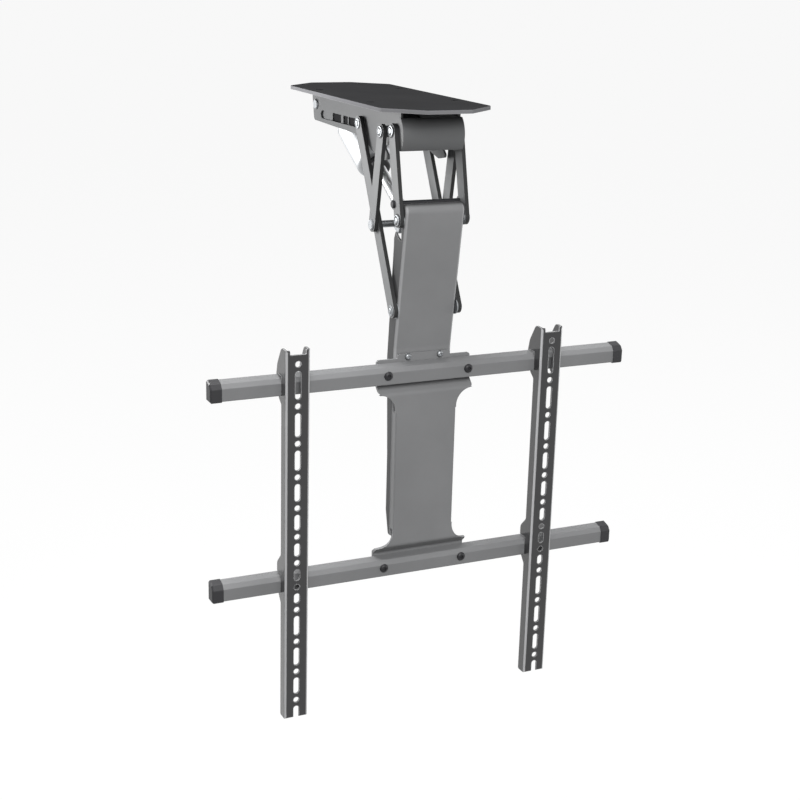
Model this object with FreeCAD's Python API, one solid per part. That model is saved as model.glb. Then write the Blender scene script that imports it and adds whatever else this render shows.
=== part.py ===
"""Motorised ceiling mount for a flat screen, modelled at its real size in millimetres.

The origin is the middle of the ceiling plate's top face, +Z is up and the screen faces -Y.
The frame that carries the screen hangs below the plate. Two swing links, two cranks and two
long lift rods fold it back and up under the plate, and a spindle drive moves the cranks.
"""
import FreeCAD, Part
import math
import os

V = FreeCAD.Vector

# Ceiling plate: an eight-sided pan with a lip turned down all round
plate_half_length = 169.0
plate_half_width = 66.5
plate_end_half_width = 26.5
plate_shoulder_inset = 34.0
plate_sheet = 3.0
plate_lip_drop = 4.5
plate_corner_radius = 5.0
ceiling_hole_spacing_x = 104.0
ceiling_hole_spacing_y = 150.0
ceiling_hole_radius = 4.5

# Housing: a channel under the plate that carries every fixed pivot
housing_half_width = 36.0
housing_sheet = 2.5
housing_front = -122.0
housing_rear = 140.0
housing_depth = 38.5
housing_rear_bevel = 8.0
cheek_drop = 42.0
finger_root = (-17.0, -44.3)
finger_knee = (-50.6, -58.2)
finger_heel = (-75.0, -64.5)
finger_tip = (-95.5, -60.5)
finger_notch = (-78.0, -47.5)

# Front cover
cover_gap = 0.4
cover_sheet = 2.0
cover_front = -132.0
cover_top = -13.0
cover_bottom = -48.0
cover_reach = 14.0

# Linkage, measured in the side view. Leans are from the vertical, in degrees.
swing_pivot = (-111.35, -27.80)
crank_pivot = (-93.55, -30.21)
swing_length = 96.67
swing_lean = 12.972
crank_length = 107.42
crank_lean = 9.938
arm_pivot_pitch = 103.86
arm_lean = 5.852
rod_upper_length = 120.64
swing_travel = -39.92
crank_travel = 48.58
rod_travel = -34.26
link_sheet = 4.5
link_half_width = 8.2
link_plane_gap = 0.6
link_wall_gap = 1.6
pivot_radius = 4.0
pivot_running_gap = 0.05
pivot_head_radius = 6.2
pivot_head_height = 2.2
pivot_head_chamfer = 1.0
washer_radius = 6.4
side_gap = 0.3

# Guide slots in the housing walls
guide_pin_radius = 2.0
slot_drop = 1.88
slot_fall = 1.31
slot_fall_run = 140.0
slot_side_room = 2.9
slot_end_room = 3.0
liner_sheet = 2.0
liner_margin = 4.0
liner_recess = 1.4
slot_bar_places = ((30.0, 2.2), (48.5, 6.5), (95.0, 34.0))

# Cross bar between the swing links
bar_radius = 3.5
bar_along = 18.2
bar_behind = 6.4
bar_ear_radius = 6.5
bar_bolt_radius = 2.5
bar_bolt_head_radius = 4.4
bar_bolt_head_height = 2.6

# Spindle drive between the housing's rear pin and the crank shaft
drive_x = 0.0
drive_pivot = (125.0, -22.0)
drive_radius = 23.5
drive_near = 28.0
drive_length = 104.5
drive_nose_radius = 6.0
drive_cap_length = 11.5
drive_cap_radius = 13.0
gearbox_radius = 17.0
gearbox_length = 15.0
spindle_radius = 7.0
spindle_running_gap = 0.06
spindle_end_past_nut = 1.5
nut_half_length = 7.0
nut_half_width = 15.0
nut_half_height = 10.5
nut_journal_depth = 6.0
clevis_half_width = 7.0
clevis_radius = 9.0
rear_pin_radius = 4.0

# Lift arm: a formed channel that is open at the back
arm_half_width = housing_half_width
arm_sheet = 2.5
arm_pivot_behind_face = 8.2
arm_pivot_above_rail = 185.0
arm_pivot_behind_rail = 3.95
arm_inner_head_radius = 5.2
arm_top_above_pivot = 17.9
arm_bend_above_rail = 36.0
arm_lug_radius = 10.0
arm_notch_gap = 0.8
arm_back_top = 25.0
arm_back_mid = 36.0
arm_back_low = 29.5
arm_back_knee_radius = 40.0
arm_tail_radius = 60.0
arm_knee_radius = 20.0
arm_top_radius = 9.0
arm_top_lip = 9.5
arm_tail_rise = 22.0
arm_tail_bevel = 27.0
arm_bend_radius = 4.0
arm_boss_radius = 9.0

# Rails and the frame plate between them
rail_depth = 14.0
rail_height = 22.3
rail_front_height = 14.2
rail_shoulder = (3.5, 19.2)
rail_wall = 1.8
rail_pitch = 232.0
rail_half_length = 245.0
rail_edge_radius = 1.2
cap_length = 13.0
cap_proud = 1.0
cap_plug_length = 12.0
cap_plug_gap = 0.0
frame_sheet = 2.8
frame_face = 3.2
frame_neck_half_width = 38.0
frame_flare_half_width = 58.5
frame_flange_rise = 3.2
frame_tab_rise = 9.0
frame_tab_half_width = 33.0
frame_flange_low_drop = 19.5
frame_flare_radius = 20.0
frame_flare_drop = 13.0
frame_side_depth = 9.0
rail_screw_x = 50.0
rail_screw_height = 10.7
rail_screw_radius = 3.0
rail_screw_head_radius = 5.2
rail_screw_head_height = 3.0
nut_across_flats = 10.0
nut_height = 5.0
tab_bolt_x = 20.0
tab_bolt_height = 27.0
tab_bolt_head_radius = 3.9

# Screen brackets
bracket_half_width = 14.2
bracket_depth = 14.5
bracket_sheet = 2.0
bracket_left_x = -163.5
bracket_right_x = 150.5
bracket_top = 54.0
bracket_bottom = -384.0
bracket_rail_gap = 0.3
bracket_ear_reach = 17.3
bracket_ear_height = 27.0
bracket_lip_drop = 9.0
bracket_toe_reach = 9.0
bracket_toe_drop = 9.0
bracket_low_ear_height = 24.0
bracket_bend_radius = 3.0
first_hole_height = 38.4
hole_radius = 3.25
hole_pitches = (47.4, 42.7, 38.8, 36.2, 34.1, 31.2, 29.2, 27.7, 39.3, 37.5, 35.9)
slot_bridge = 8.0
last_slot_length = 20.0


def polar(point, length, lean):
    """Point at a distance below another, leaning by so many degrees towards +Y."""
    turn = math.radians(lean)
    return (point[0] + length * math.sin(turn), point[1] - length * math.cos(turn))


def heading(start, end):
    """Unit direction from one side-view point to another."""
    run = math.hypot(end[0] - start[0], end[1] - start[1])
    return ((end[0] - start[0]) / run, (end[1] - start[1]) / run)


def step(point, direction, length):
    """Point reached by going so far along a direction."""
    return (point[0] + direction[0] * length, point[1] + direction[1] * length)


# Pivots worked out from the link lengths
arm_pivot = polar(swing_pivot, swing_length, -swing_lean)
crank_pin = polar(crank_pivot, crank_length, crank_lean)
rod_pin = polar(arm_pivot, arm_pivot_pitch, arm_lean)
rod_line = heading(rod_pin, crank_pin)
guide_pin = step(crank_pin, rod_line, rod_upper_length)
crank_pin_folded = polar(crank_pivot, crank_length, crank_lean + crank_travel)
rod_lean = math.degrees(math.atan2(rod_line[0], rod_line[1]))
guide_pin_folded = polar(crank_pin_folded, -rod_upper_length, -(rod_lean - rod_travel))

# The rails' front bottom edge in the part's own frame
rail_y = arm_pivot[0] - arm_pivot_behind_rail
rail_z = arm_pivot[1] - arm_pivot_above_rail

# Planes of the links, outwards from the housing wall
inner_link_x = housing_half_width + link_wall_gap
inner_link_out = inner_link_x + link_sheet
outer_link_x = inner_link_out + link_plane_gap
outer_link_out = outer_link_x + link_sheet
housing_inner = housing_half_width - housing_sheet
arm_inner = arm_half_width - arm_sheet

parts = {}


def rounded_face(corners, place):
    """Flat face through the corners (u, v, radius), with tangent arcs at the rounded ones."""
    count = len(corners)
    joints = []
    for index, (u, v, radius) in enumerate(corners):
        before = corners[index - 1]
        after = corners[(index + 1) % count]
        a = heading((u, v), before)
        b = heading((u, v), after)
        if radius <= 0:
            joints.append(((u, v), None, (u, v)))
            continue
        half = math.acos(max(-1.0, min(1.0, a[0] * b[0] + a[1] * b[1]))) / 2
        reach = radius / math.tan(half)
        middle = heading((0, 0), (a[0] + b[0], a[1] + b[1]))
        tip = step((u, v), middle, radius / math.sin(half) - radius)
        joints.append((step((u, v), a, reach), tip, step((u, v), b, reach)))
    edges = []
    for index, (start, tip, end) in enumerate(joints):
        if tip is not None:
            edges.append(Part.Arc(place(*start), place(*tip), place(*end)).toShape())
        following = joints[(index + 1) % count][0]
        if math.hypot(following[0] - end[0], following[1] - end[1]) > 1e-6:
            edges.append(Part.LineSegment(place(*end), place(*following)).toShape())
    return Part.Face(Part.Wire(edges))


def side_prism(corners, low_x, high_x):
    """Solid from a side-view outline (y, z, radius), running from low_x to high_x."""
    face = rounded_face(corners, lambda y, z: V(low_x, y, z))
    return face.extrude(V(high_x - low_x, 0, 0))


def front_prism(corners, low_y, high_y):
    """Solid from a front-view outline (x, z, radius), running from low_y to high_y."""
    face = rounded_face(corners, lambda x, z: V(x, low_y, z))
    return face.extrude(V(0, high_y - low_y, 0))


def top_prism(corners, low_z, high_z):
    """Solid from a plan outline (x, y, radius), running from low_z to high_z."""
    face = rounded_face(corners, lambda x, y: V(x, y, low_z))
    return face.extrude(V(0, 0, high_z - low_z))


def x_cylinder(radius, low_x, high_x, centre):
    """Cylinder along X through a side-view point."""
    return Part.makeCylinder(radius, high_x - low_x, V(low_x, centre[0], centre[1]), V(1, 0, 0))


def y_cylinder(radius, low_y, high_y, x, z):
    """Cylinder along Y."""
    return Part.makeCylinder(radius, high_y - low_y, V(x, low_y, z), V(0, 1, 0))


def box(low, high):
    """Box between two corners."""
    return Part.makeBox(high[0] - low[0], high[1] - low[1], high[2] - low[2], V(*low))


def mirrored(shape):
    """The same shape on the other side of the middle plane."""
    return shape.mirror(V(0, 0, 0), V(1, 0, 0))


def both_sides(shape):
    """A shape and its mirror image, as separate solids of one node."""
    return Part.makeCompound([shape, mirrored(shape)])


def dome(radius, height, outward, side=1):
    """Rivet head along X with its flat at x = outward, sloped at its rim."""
    slope = min(pivot_head_chamfer, 0.6 * height)
    foot = Part.makeCylinder(radius, height - slope, V(outward, 0, 0), V(side, 0, 0))
    crown = Part.makeCone(radius, radius - slope, slope, V(outward + side * (height - slope), 0, 0),
                          V(side, 0, 0))
    return foot.fuse(crown)


def rivet(centre, low_x, high_x, radius, head_radius):
    """Stepped pin along +X: a shank and a domed head outside."""
    shank = x_cylinder(radius, low_x, high_x, centre)
    head = dome(head_radius, pivot_head_height, high_x)
    head.translate(V(0, centre[0], centre[1]))
    return shank.fuse(head).removeSplitter()


def flat_link(start, end, low_x, holes):
    """Flat bar with round ends between two side-view points, with round holes."""
    direction = heading(start, end)
    normal = (-direction[1], direction[0])
    w = link_half_width
    edges = [
        Part.LineSegment(V(low_x, *step(start, normal, w)), V(low_x, *step(end, normal, w))),
        Part.Arc(V(low_x, *step(end, normal, w)), V(low_x, *step(end, direction, w)),
                 V(low_x, *step(end, normal, -w))),
        Part.LineSegment(V(low_x, *step(end, normal, -w)), V(low_x, *step(start, normal, -w))),
        Part.Arc(V(low_x, *step(start, normal, -w)), V(low_x, *step(start, direction, -w)),
                 V(low_x, *step(start, normal, w))),
    ]
    bar = Part.Face(Part.Wire([e.toShape() for e in edges])).extrude(V(link_sheet, 0, 0))
    for centre, radius in holes:
        bar = bar.cut(x_cylinder(radius, low_x - 1, low_x + link_sheet + 1, centre))
    return bar


def save(name, shape):
    """Keep a node for writing."""
    parts[name] = shape


def plan_octagon(inset):
    """The ceiling plate's plan outline, moved inwards by so much."""
    end = plate_half_length - inset
    side = plate_half_width - inset
    shoulder = plate_half_length - plate_shoulder_inset
    taper = (plate_half_width - plate_end_half_width) / plate_shoulder_inset
    slope = math.hypot(1, taper)
    shoulder_y = shoulder - inset * (slope - 1) / taper
    end_x = plate_end_half_width - inset * (slope - taper)
    radius = max(plate_corner_radius - inset, 1.0)
    quarter = [(end_x, end), (side, shoulder_y)]
    ring = quarter + [(x, -y) for x, y in reversed(quarter)]
    ring += [(-x, -y) for x, y in quarter] + [(-x, y) for x, y in reversed(quarter)]
    return [(x, y, radius) for x, y in ring]


def ceiling_plate():
    """Eight-sided pan with its lip down and four ceiling holes."""
    pan = top_prism(plan_octagon(0), -plate_lip_drop, 0)
    rim = [e for e in pan.Edges if abs(e.BoundBox.ZMin) < 1e-6 and abs(e.BoundBox.ZMax) < 1e-6]
    pan = pan.makeFillet(0.4 * plate_sheet, rim)
    pan = pan.cut(top_prism(plan_octagon(plate_sheet), -plate_lip_drop - 1, -plate_sheet))
    for x in (-ceiling_hole_spacing_x / 2, ceiling_hole_spacing_x / 2):
        for y in (-ceiling_hole_spacing_y / 2, ceiling_hole_spacing_y / 2):
            pan = pan.cut(Part.makeCylinder(ceiling_hole_radius, plate_sheet + 2,
                                            V(x, y, -plate_sheet - 1)))
    return pan


def slot_outline(side_room, end_room):
    """Guide slot's outline along the line that the guide pins follow, as corners."""
    half = guide_pin_radius + side_room
    fall = slot_fall / slot_fall_run
    line = heading((0, 0), (1, -fall))
    normal = (-line[1], line[0])
    first = (guide_pin[0], guide_pin[1] - slot_drop)
    last_run = (guide_pin_folded[0] - guide_pin[0]) * math.hypot(1, fall)
    low = step(first, line, -guide_pin_radius - end_room)
    high = step(first, line, last_run + guide_pin_radius + end_room)
    corners = [step(low, normal, -half), step(high, normal, -half),
               step(high, normal, half), step(low, normal, half)]
    return [(y, z, 0.98 * half) for y, z in corners]


def housing_outline():
    """Side-view outline of the housing's walls, with the finger that points down and forward."""
    top = -plate_sheet
    bottom = -plate_sheet - housing_depth
    return [
        (housing_front, top, 0),
        (housing_front, 10 - cheek_drop, 6),
        (housing_front + 6, -cheek_drop, 4),
        (*finger_notch, 2),
        (*finger_tip, 3),
        (*finger_heel, 8),
        (*finger_knee, 20),
        (*finger_root, 10),
        (housing_rear - housing_rear_bevel, bottom, 5),
        (housing_rear, top, 0),
    ]


def housing():
    """Channel folded from sheet, open below, with slots, pivot holes and cheeks."""
    outline = housing_outline()
    body = side_prism(outline, -housing_half_width, housing_half_width)
    hollow = box((-housing_inner, housing_front - 1, finger_heel[1] - 10),
                 (housing_inner, housing_rear + 1, -plate_sheet - housing_sheet))
    body = body.cut(hollow)
    reach = housing_half_width + 1
    slot = side_prism(slot_outline(slot_side_room, slot_end_room), -reach, reach)
    body = body.cut(slot)
    for centre, radius in ((swing_pivot, pivot_radius), (crank_pivot, pivot_radius),
                           (drive_pivot, rear_pin_radius)):
        body = body.cut(x_cylinder(radius, -reach, reach, centre))
    return body


def slot_window():
    """Recess that a slot liner has behind the slot, on the right side."""
    window = side_prism(slot_outline(slot_side_room, slot_end_room), liner_sheet - liner_recess,
                        liner_sheet)
    window.translate(V(housing_inner - liner_sheet, 0, 0))
    return window


def slot_liner(side):
    """Dark plastic strip inside a wall, with a recess behind the slot."""
    outer = slot_outline(slot_side_room + liner_margin, slot_end_room + liner_margin)
    strip = side_prism(outer, housing_inner - liner_sheet, housing_inner)
    strip = strip.cut(slot_window())
    return strip if side > 0 else mirrored(strip)


def slot_bars():
    """Pale bars that cross the recess of both liners and part it into cells."""
    bars = []
    for middle, width in slot_bar_places:
        post = box((0, middle - width / 2, 2 * finger_heel[1]),
                   (housing_half_width, middle + width / 2, 0))
        bars.append(slot_window().common(post))
    return both_sides(Part.makeCompound(bars))


def front_cover():
    """Curved cover over the housing's front, with its ends folded back along the walls."""
    half = housing_half_width + link_wall_gap - cover_gap
    mid = (cover_top + cover_bottom) / 2
    back = cover_front + cover_reach
    bulge = 5.0

    def shell(inset, ends):
        start = V(-ends, back, cover_top - inset)
        rim = V(-ends, cover_front + bulge + 3, cover_top - inset)
        nose = V(-ends, cover_front + inset, mid)
        low = V(-ends, cover_front + bulge, cover_bottom + inset)
        end = V(-ends, back, cover_bottom + inset)
        wire = Part.Wire([Part.LineSegment(start, rim).toShape(), Part.Arc(rim, nose, low).toShape(),
                          Part.LineSegment(low, end).toShape(), Part.LineSegment(end, start).toShape()])
        return Part.Face(wire).extrude(V(2 * ends, 0, 0))

    outer = shell(0, half)
    inner = shell(cover_sheet, half - 1.1)
    notch = box((-housing_half_width - 0.05, housing_front - 0.1, cover_bottom - 1),
                (housing_half_width + 0.05, 0, 0))
    return outer.cut(inner).cut(notch)


def wall_pin(centre, link_out, bush_out):
    """Fixed pivot through a housing wall: shank, inside head, spacer and outside rivet head."""
    pin = rivet(centre, housing_inner - 2, link_out + side_gap, pivot_radius, pivot_head_radius)
    inside = x_cylinder(pivot_head_radius, housing_inner - 2, housing_inner, centre)
    bush = x_cylinder(washer_radius, housing_half_width, bush_out - side_gap, centre)
    return pin.fuse([inside, bush]).removeSplitter()


def rear_pins():
    """Two studs through the housing's rear walls, one on each side of the drive's eye."""
    right = rivet(drive_pivot, drive_x + clevis_half_width + side_gap, housing_half_width,
                  rear_pin_radius, pivot_head_radius)
    left = rivet(drive_pivot, clevis_half_width + side_gap - drive_x, housing_half_width,
                 rear_pin_radius, pivot_head_radius)
    return Part.makeCompound([right, mirrored(left)])


def swing_link():
    """Front link: a flat bar with a small ear at its back edge for the cross bar's bolt."""
    running = pivot_radius + pivot_running_gap
    bar = flat_link(swing_pivot, arm_pivot, inner_link_x,
                    [(swing_pivot, running), (arm_pivot, running)])
    ear = x_cylinder(bar_ear_radius, inner_link_x, inner_link_out, bar_point())
    hole = x_cylinder(bar_bolt_radius, inner_link_x - 1, inner_link_out + 1, bar_point())
    for centre in (swing_pivot, arm_pivot):
        ear = ear.cut(x_cylinder(running, inner_link_x - 1, inner_link_out + 1, centre))
    return bar.fuse(ear).cut(hole).removeSplitter()


def bar_point():
    """Centre of the cross bar, a little above the arm pivot and behind the link's middle."""
    up = heading(arm_pivot, swing_pivot)
    back = (up[1], -up[0])
    return step(step(arm_pivot, up, bar_along), back, bar_behind)


def cross_bar():
    """Round bar between the two swing links."""
    return x_cylinder(bar_radius, -inner_link_x, inner_link_x, bar_point())


def bar_bolt():
    """Black button bolt that holds the cross bar to a swing link."""
    head = dome(bar_bolt_head_radius, bar_bolt_head_height, inner_link_out)
    head.translate(V(0, *bar_point()))
    shank = x_cylinder(bar_bolt_radius, inner_link_x, inner_link_out, bar_point())
    return head.fuse(shank).removeSplitter()


def crank_link():
    """Outer link from the housing to the crank shaft."""
    return flat_link(crank_pivot, crank_pin, outer_link_x,
                     [(crank_pivot, pivot_radius + pivot_running_gap), (crank_pin, pivot_radius)])


def crank_shaft(side):
    """Half of the crank shaft: from the nut's side bore out to its head on the crank."""
    tip = side * drive_x + nut_half_width - nut_journal_depth + side_gap
    shaft = rivet(crank_pin, tip, outer_link_out, pivot_radius, pivot_head_radius)
    return shaft if side > 0 else mirrored(shaft)


def lift_rod():
    """Long rod with its guide pin above, the crank shaft in its middle and the arm pin below."""
    return flat_link(rod_pin, guide_pin, inner_link_x,
                     [(rod_pin, pivot_radius), (crank_pin, pivot_radius + pivot_running_gap),
                      (guide_pin, guide_pin_radius)])


def guide_stud():
    """Guide pin: a head outside the rod, a washer inside it and a thin pin in the slot."""
    pin = rivet(guide_pin, housing_inner + side_gap, inner_link_out, guide_pin_radius,
                pivot_head_radius)
    washer = x_cylinder(washer_radius, housing_half_width + side_gap, inner_link_x, guide_pin)
    return pin.fuse(washer).removeSplitter()


def rod_stud():
    """Arm pin: a stud fixed in the rod that stops just short of the arm's boss."""
    return rivet(rod_pin, inner_link_x, inner_link_out, pivot_radius, pivot_head_radius)


def arm_wall_outline(inset):
    """Side-view outline of the lift arm, with its front moved back by so much."""
    bend_z = rail_z + arm_bend_above_rail
    low_y = rail_y + rail_depth + frame_sheet + 0.2
    face_y = arm_pivot[0] - arm_pivot_behind_face
    lean = (low_y - face_y) / (arm_pivot[1] - bend_z)
    top_z = arm_pivot[1] + arm_top_above_pivot
    top_y = low_y - lean * (top_z - bend_z)
    tail_z = rail_z - rail_pitch + 3
    wall_low = rail_z - rail_pitch + rail_height + arm_tail_rise + arm_tail_bevel
    return low_y + inset, bend_z, top_y + inset, top_z, tail_z, wall_low


def arm_blank(low_y, bend_z, top_y, top_z, bend, roll, half):
    """Block behind the arm's front face and under its rolled top, before its sides are trimmed."""
    far = rail_y + 2 * arm_back_mid
    base = rail_z - rail_pitch - 20
    corners = [(low_y, base, 0), (low_y, bend_z, bend), (top_y, top_z, roll), (far, top_z, 0),
               (far, base, 0)]
    return side_prism(corners, -half, half)


def lift_arm():
    """Channel with its web to the front, notched where the swing links' bar passes."""
    low_y, bend_z, top_y, top_z, tail_z, wall_low = arm_wall_outline(0)
    back_top = rail_y + arm_back_top
    back_mid = rail_y + arm_back_mid
    back_low = rail_y + arm_back_low
    bar = bar_point()
    bar_reach = math.hypot(bar[0] - arm_pivot[0], bar[1] - arm_pivot[1])
    notch = bar_reach + bar_radius + arm_notch_gap
    corners = [
        (low_y, wall_low - arm_tail_bevel - 2, 0),
        (low_y, bend_z, arm_knee_radius),
        (top_y, top_z, arm_top_radius),
        (arm_pivot[0] + 3, top_z, 6),
        (back_top, arm_pivot[1] - notch, 3),
        (back_top, arm_pivot[1] - notch - 8, 6),
        (back_mid, rail_z + rail_height, arm_back_knee_radius),
        (back_low, rail_z - 0.4 * rail_pitch, arm_tail_radius),
        (back_low, wall_low, 3),
        (low_y + arm_sheet + 3, wall_low - arm_tail_bevel, 3),
    ]
    web_low, _, web_top, _, _, _ = arm_wall_outline(arm_sheet)
    sheet = arm_blank(low_y, bend_z, top_y, top_z, arm_knee_radius, arm_top_radius, arm_half_width)
    fronts = [e for e in sheet.Edges if abs(abs(e.CenterOfMass.x) - arm_half_width) < 1e-6
              and e.CenterOfMass.y < low_y + 0.5]
    sheet = sheet.makeFillet(arm_bend_radius, fronts)
    sheet = sheet.cut(arm_blank(web_low, bend_z, web_top, top_z - arm_sheet,
                                arm_knee_radius - arm_sheet, arm_top_radius - arm_sheet, arm_inner))
    sheet = sheet.cut(box((-arm_inner, top_y + arm_top_lip, top_z - 2 * arm_sheet),
                          (arm_inner, rail_y + 3 * arm_back_mid, top_z + 1)))
    body = sheet.common(side_prism(corners, -arm_half_width, arm_half_width))
    sweep = x_cylinder(notch, -arm_half_width - 1, arm_half_width + 1, arm_pivot)
    keep = x_cylinder(arm_lug_radius, -arm_half_width - 2, arm_half_width + 2, arm_pivot)
    front_keep = side_prism([(top_y - 60, top_z + 40, 0), (arm_pivot[0] + 2, top_z + 40, 0),
                             (arm_pivot[0] + 2, arm_pivot[1] - notch - 20, 0),
                             (top_y - 60, arm_pivot[1] - notch - 20, 0)],
                            -arm_half_width - 2, arm_half_width + 2)
    body = body.cut(sweep.cut(keep).cut(front_keep))
    tongue = box((-frame_tab_half_width, low_y, tail_z),
                 (frame_tab_half_width, low_y + arm_sheet, wall_low - arm_tail_bevel))
    body = body.fuse(tongue).removeSplitter()
    for x in (-tab_bolt_x, tab_bolt_x):
        body = body.cut(y_cylinder(rail_screw_radius, low_y - 1, low_y + arm_sheet + 1, x,
                                   rail_z + tab_bolt_height))
    reach = arm_half_width + 1
    body = body.cut(x_cylinder(pivot_radius, -reach, reach, arm_pivot))
    return body


def arm_boss():
    """Low washer on the outside of the arm's wall, facing the lift rod's pin."""
    return both_sides(x_cylinder(arm_boss_radius, arm_half_width,
                                 inner_link_x - side_gap, rod_pin))


def arm_stud():
    """Pivot stud in the arm's lug that carries the swing link."""
    pin = rivet(arm_pivot, arm_inner - 2, inner_link_out + side_gap, pivot_radius,
                pivot_head_radius)
    inside = x_cylinder(arm_inner_head_radius, arm_inner - 2, arm_inner, arm_pivot)
    bush = x_cylinder(washer_radius, arm_half_width, inner_link_x - side_gap, arm_pivot)
    return pin.fuse([inside, bush]).removeSplitter()


def frame_profile():
    """Side-view outline of the frame plate's sheet: flange, shelf, neck, shelf and flange."""
    back = rail_y + rail_depth + 0.2
    face = rail_y + frame_face
    high = rail_z + rail_height + frame_tab_rise
    low = rail_z - rail_pitch + rail_height - frame_flange_low_drop
    top_shelf = rail_z - 2.5
    low_shelf = rail_z - rail_pitch + rail_height + 2.5
    run = back - face
    t = frame_sheet
    front = [(back, high, 0), (back, top_shelf, 4), (face, top_shelf - 0.9 * run, 6),
             (face, low_shelf + 0.9 * run, 6), (back, low_shelf, 4), (back, low, 0)]
    rear = [(back + t, low, 0), (back + t, low_shelf + 0.8 * t, 2),
            (face + t, low_shelf + 0.9 * run + 0.8 * t, 9),
            (face + t, top_shelf - 0.9 * run - 0.8 * t, 9),
            (back + t, top_shelf - 0.8 * t, 2), (back + t, high, 0)]
    return front + rear


def frame_front_outline():
    """Front-view outline of the frame plate: two flares joined by the neck."""
    neck = frame_neck_half_width
    wide = frame_flare_half_width
    flange_top = rail_z + rail_height + frame_flange_rise
    tab_top = rail_z + rail_height + frame_tab_rise
    flare_low = rail_z - frame_flare_drop
    low_flare = rail_z - rail_pitch + rail_height + frame_flare_drop - 3
    low = rail_z - rail_pitch + rail_height - frame_flange_low_drop
    tab = frame_tab_half_width
    right = [
        (tab, tab_top, 4), (tab, flange_top, 1.5), (wide, flange_top, 3), (wide, flare_low, 4),
        (neck, flare_low, 0.98 * (wide - neck)), (neck, low_flare, 0.98 * (wide - neck)),
        (wide, low_flare, 3), (wide, low, 3),
    ]
    left = [(-x, z, r) for x, z, r in reversed(right)]
    return right + left


def neck_side(trim):
    """Edge turned back along the neck, or the strip of flat sheet that it takes the place of."""
    flare = frame_flare_half_width - frame_neck_half_width
    top = rail_z - frame_flare_drop - flare - 2
    low = rail_z - rail_pitch + rail_height + frame_flare_drop - 3 + flare + 2
    face = rail_y + frame_face
    outer = frame_neck_half_width
    inner = outer - frame_sheet
    if trim:
        return box((inner - 1, face - 1, low), (outer + 1, face + frame_side_depth, top))
    back = face + frame_side_depth
    bend = 0.8 * frame_sheet
    corners = [(inner - 1, face, 0), (outer, face, bend), (outer, back, 0), (inner, back, 0),
               (inner, face + frame_sheet, 0), (inner - 1, face + frame_sheet, 0)]
    return top_prism(corners, low, top)


def frame_plate():
    """One formed sheet that joins the two rails, with edges turned back along its neck."""
    wide = frame_flare_half_width + 2
    sheet = side_prism(frame_profile(), -wide, wide)
    plan = front_prism(frame_front_outline(), rail_y - 5, rail_y + rail_depth + 10)
    plate = sheet.common(plan)
    plate = plate.cut(both_sides(neck_side(True))).fuse(both_sides(neck_side(False)))
    for x in (-rail_screw_x, rail_screw_x):
        for z in rail_screw_levels():
            plate = plate.cut(y_cylinder(rail_screw_radius, rail_y, rail_y + 30, x, z))
    for x in (-tab_bolt_x, tab_bolt_x):
        plate = plate.cut(y_cylinder(rail_screw_radius, rail_y, rail_y + 30, x,
                                     rail_z + tab_bolt_height))
    return plate.removeSplitter()


def rail_screw_levels():
    """Heights of the screws through the upper and the lower rail."""
    return (rail_z + rail_screw_height, rail_z - rail_pitch + rail_screw_height)


def rail_corners(grow):
    """Rail section (y, z, radius) seen along X, grown outwards by so much."""
    y0 = rail_y - grow
    z0 = rail_z - grow
    r = rail_edge_radius + max(grow, 0)
    return [
        (y0, z0, r), (rail_y + rail_depth + grow, z0, r),
        (rail_y + rail_depth + grow, rail_z + rail_height + grow, r),
        (rail_y + rail_shoulder[0] - 0.4 * grow, rail_z + rail_shoulder[1] + 0.8 * grow, 0.8 + r),
        (y0, rail_z + rail_front_height + 0.4 * grow, 0.8 + r),
    ]


def rail():
    """Hollow rail with a sloping shoulder, drilled for its two screws."""
    outer = side_prism(rail_corners(0), -rail_half_length, rail_half_length)
    inner = side_prism([(y, z, 0.6) for y, z, r in rail_corners(-rail_wall)],
                       -rail_half_length - 1, rail_half_length + 1)
    tube = outer.cut(inner)
    for x in (-rail_screw_x, rail_screw_x):
        tube = tube.cut(y_cylinder(rail_screw_radius, rail_y - 1, rail_y + rail_depth + 1, x,
                                   rail_z + rail_screw_height))
    return tube


def end_cap():
    """Plastic cap over a rail's right end, with a plug inside the tube."""
    cap = side_prism(rail_corners(cap_proud), rail_half_length, rail_half_length + cap_length)
    outer_x = rail_half_length + cap_length
    rim = [e for e in cap.Edges if abs(e.BoundBox.XMin - outer_x) < 1e-6]
    cap = cap.makeChamfer(1.6, rim)
    plug = side_prism([(y, z, 0.6) for y, z, r in rail_corners(-rail_wall - cap_plug_gap)],
                      rail_half_length - cap_plug_length, rail_half_length + 1)
    return cap.fuse(plug).removeSplitter()


def moved(shape, z):
    """Copy of a shape moved up by z."""
    copy = shape.copy()
    copy.translate(V(0, 0, z))
    return copy


def hex_nut(x, y, z):
    """Six-sided nut with its face towards -Y at y."""
    reach = nut_across_flats / 2 / math.cos(math.radians(30))
    ring = [V(x + reach * math.cos(math.radians(60 * k)), y, z + reach * math.sin(math.radians(60 * k)))
            for k in range(7)]
    return Part.Face(Part.makePolygon(ring)).extrude(V(0, nut_height, 0))


def button_screw(x, z, face_y, grip, head_radius, head_height):
    """Button screw along Y with its nut behind, as one fastener."""
    slope = 0.5 * head_height
    head = Part.makeCylinder(head_radius, head_height - slope, V(x, face_y, z), V(0, -1, 0))
    crown = Part.makeCone(head_radius, head_radius - slope, slope,
                          V(x, face_y - head_height + slope, z), V(0, -1, 0))
    head = head.fuse(crown)
    socket = Part.makeCylinder(0.42 * head_radius, 0.6 * head_height,
                               V(x, face_y - head_height, z), V(0, 1, 0))
    shank = y_cylinder(rail_screw_radius, face_y, face_y + grip + nut_height + 1, x, z)
    return head.cut(socket).fuse([shank, hex_nut(x, face_y + grip, z)]).removeSplitter()


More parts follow.
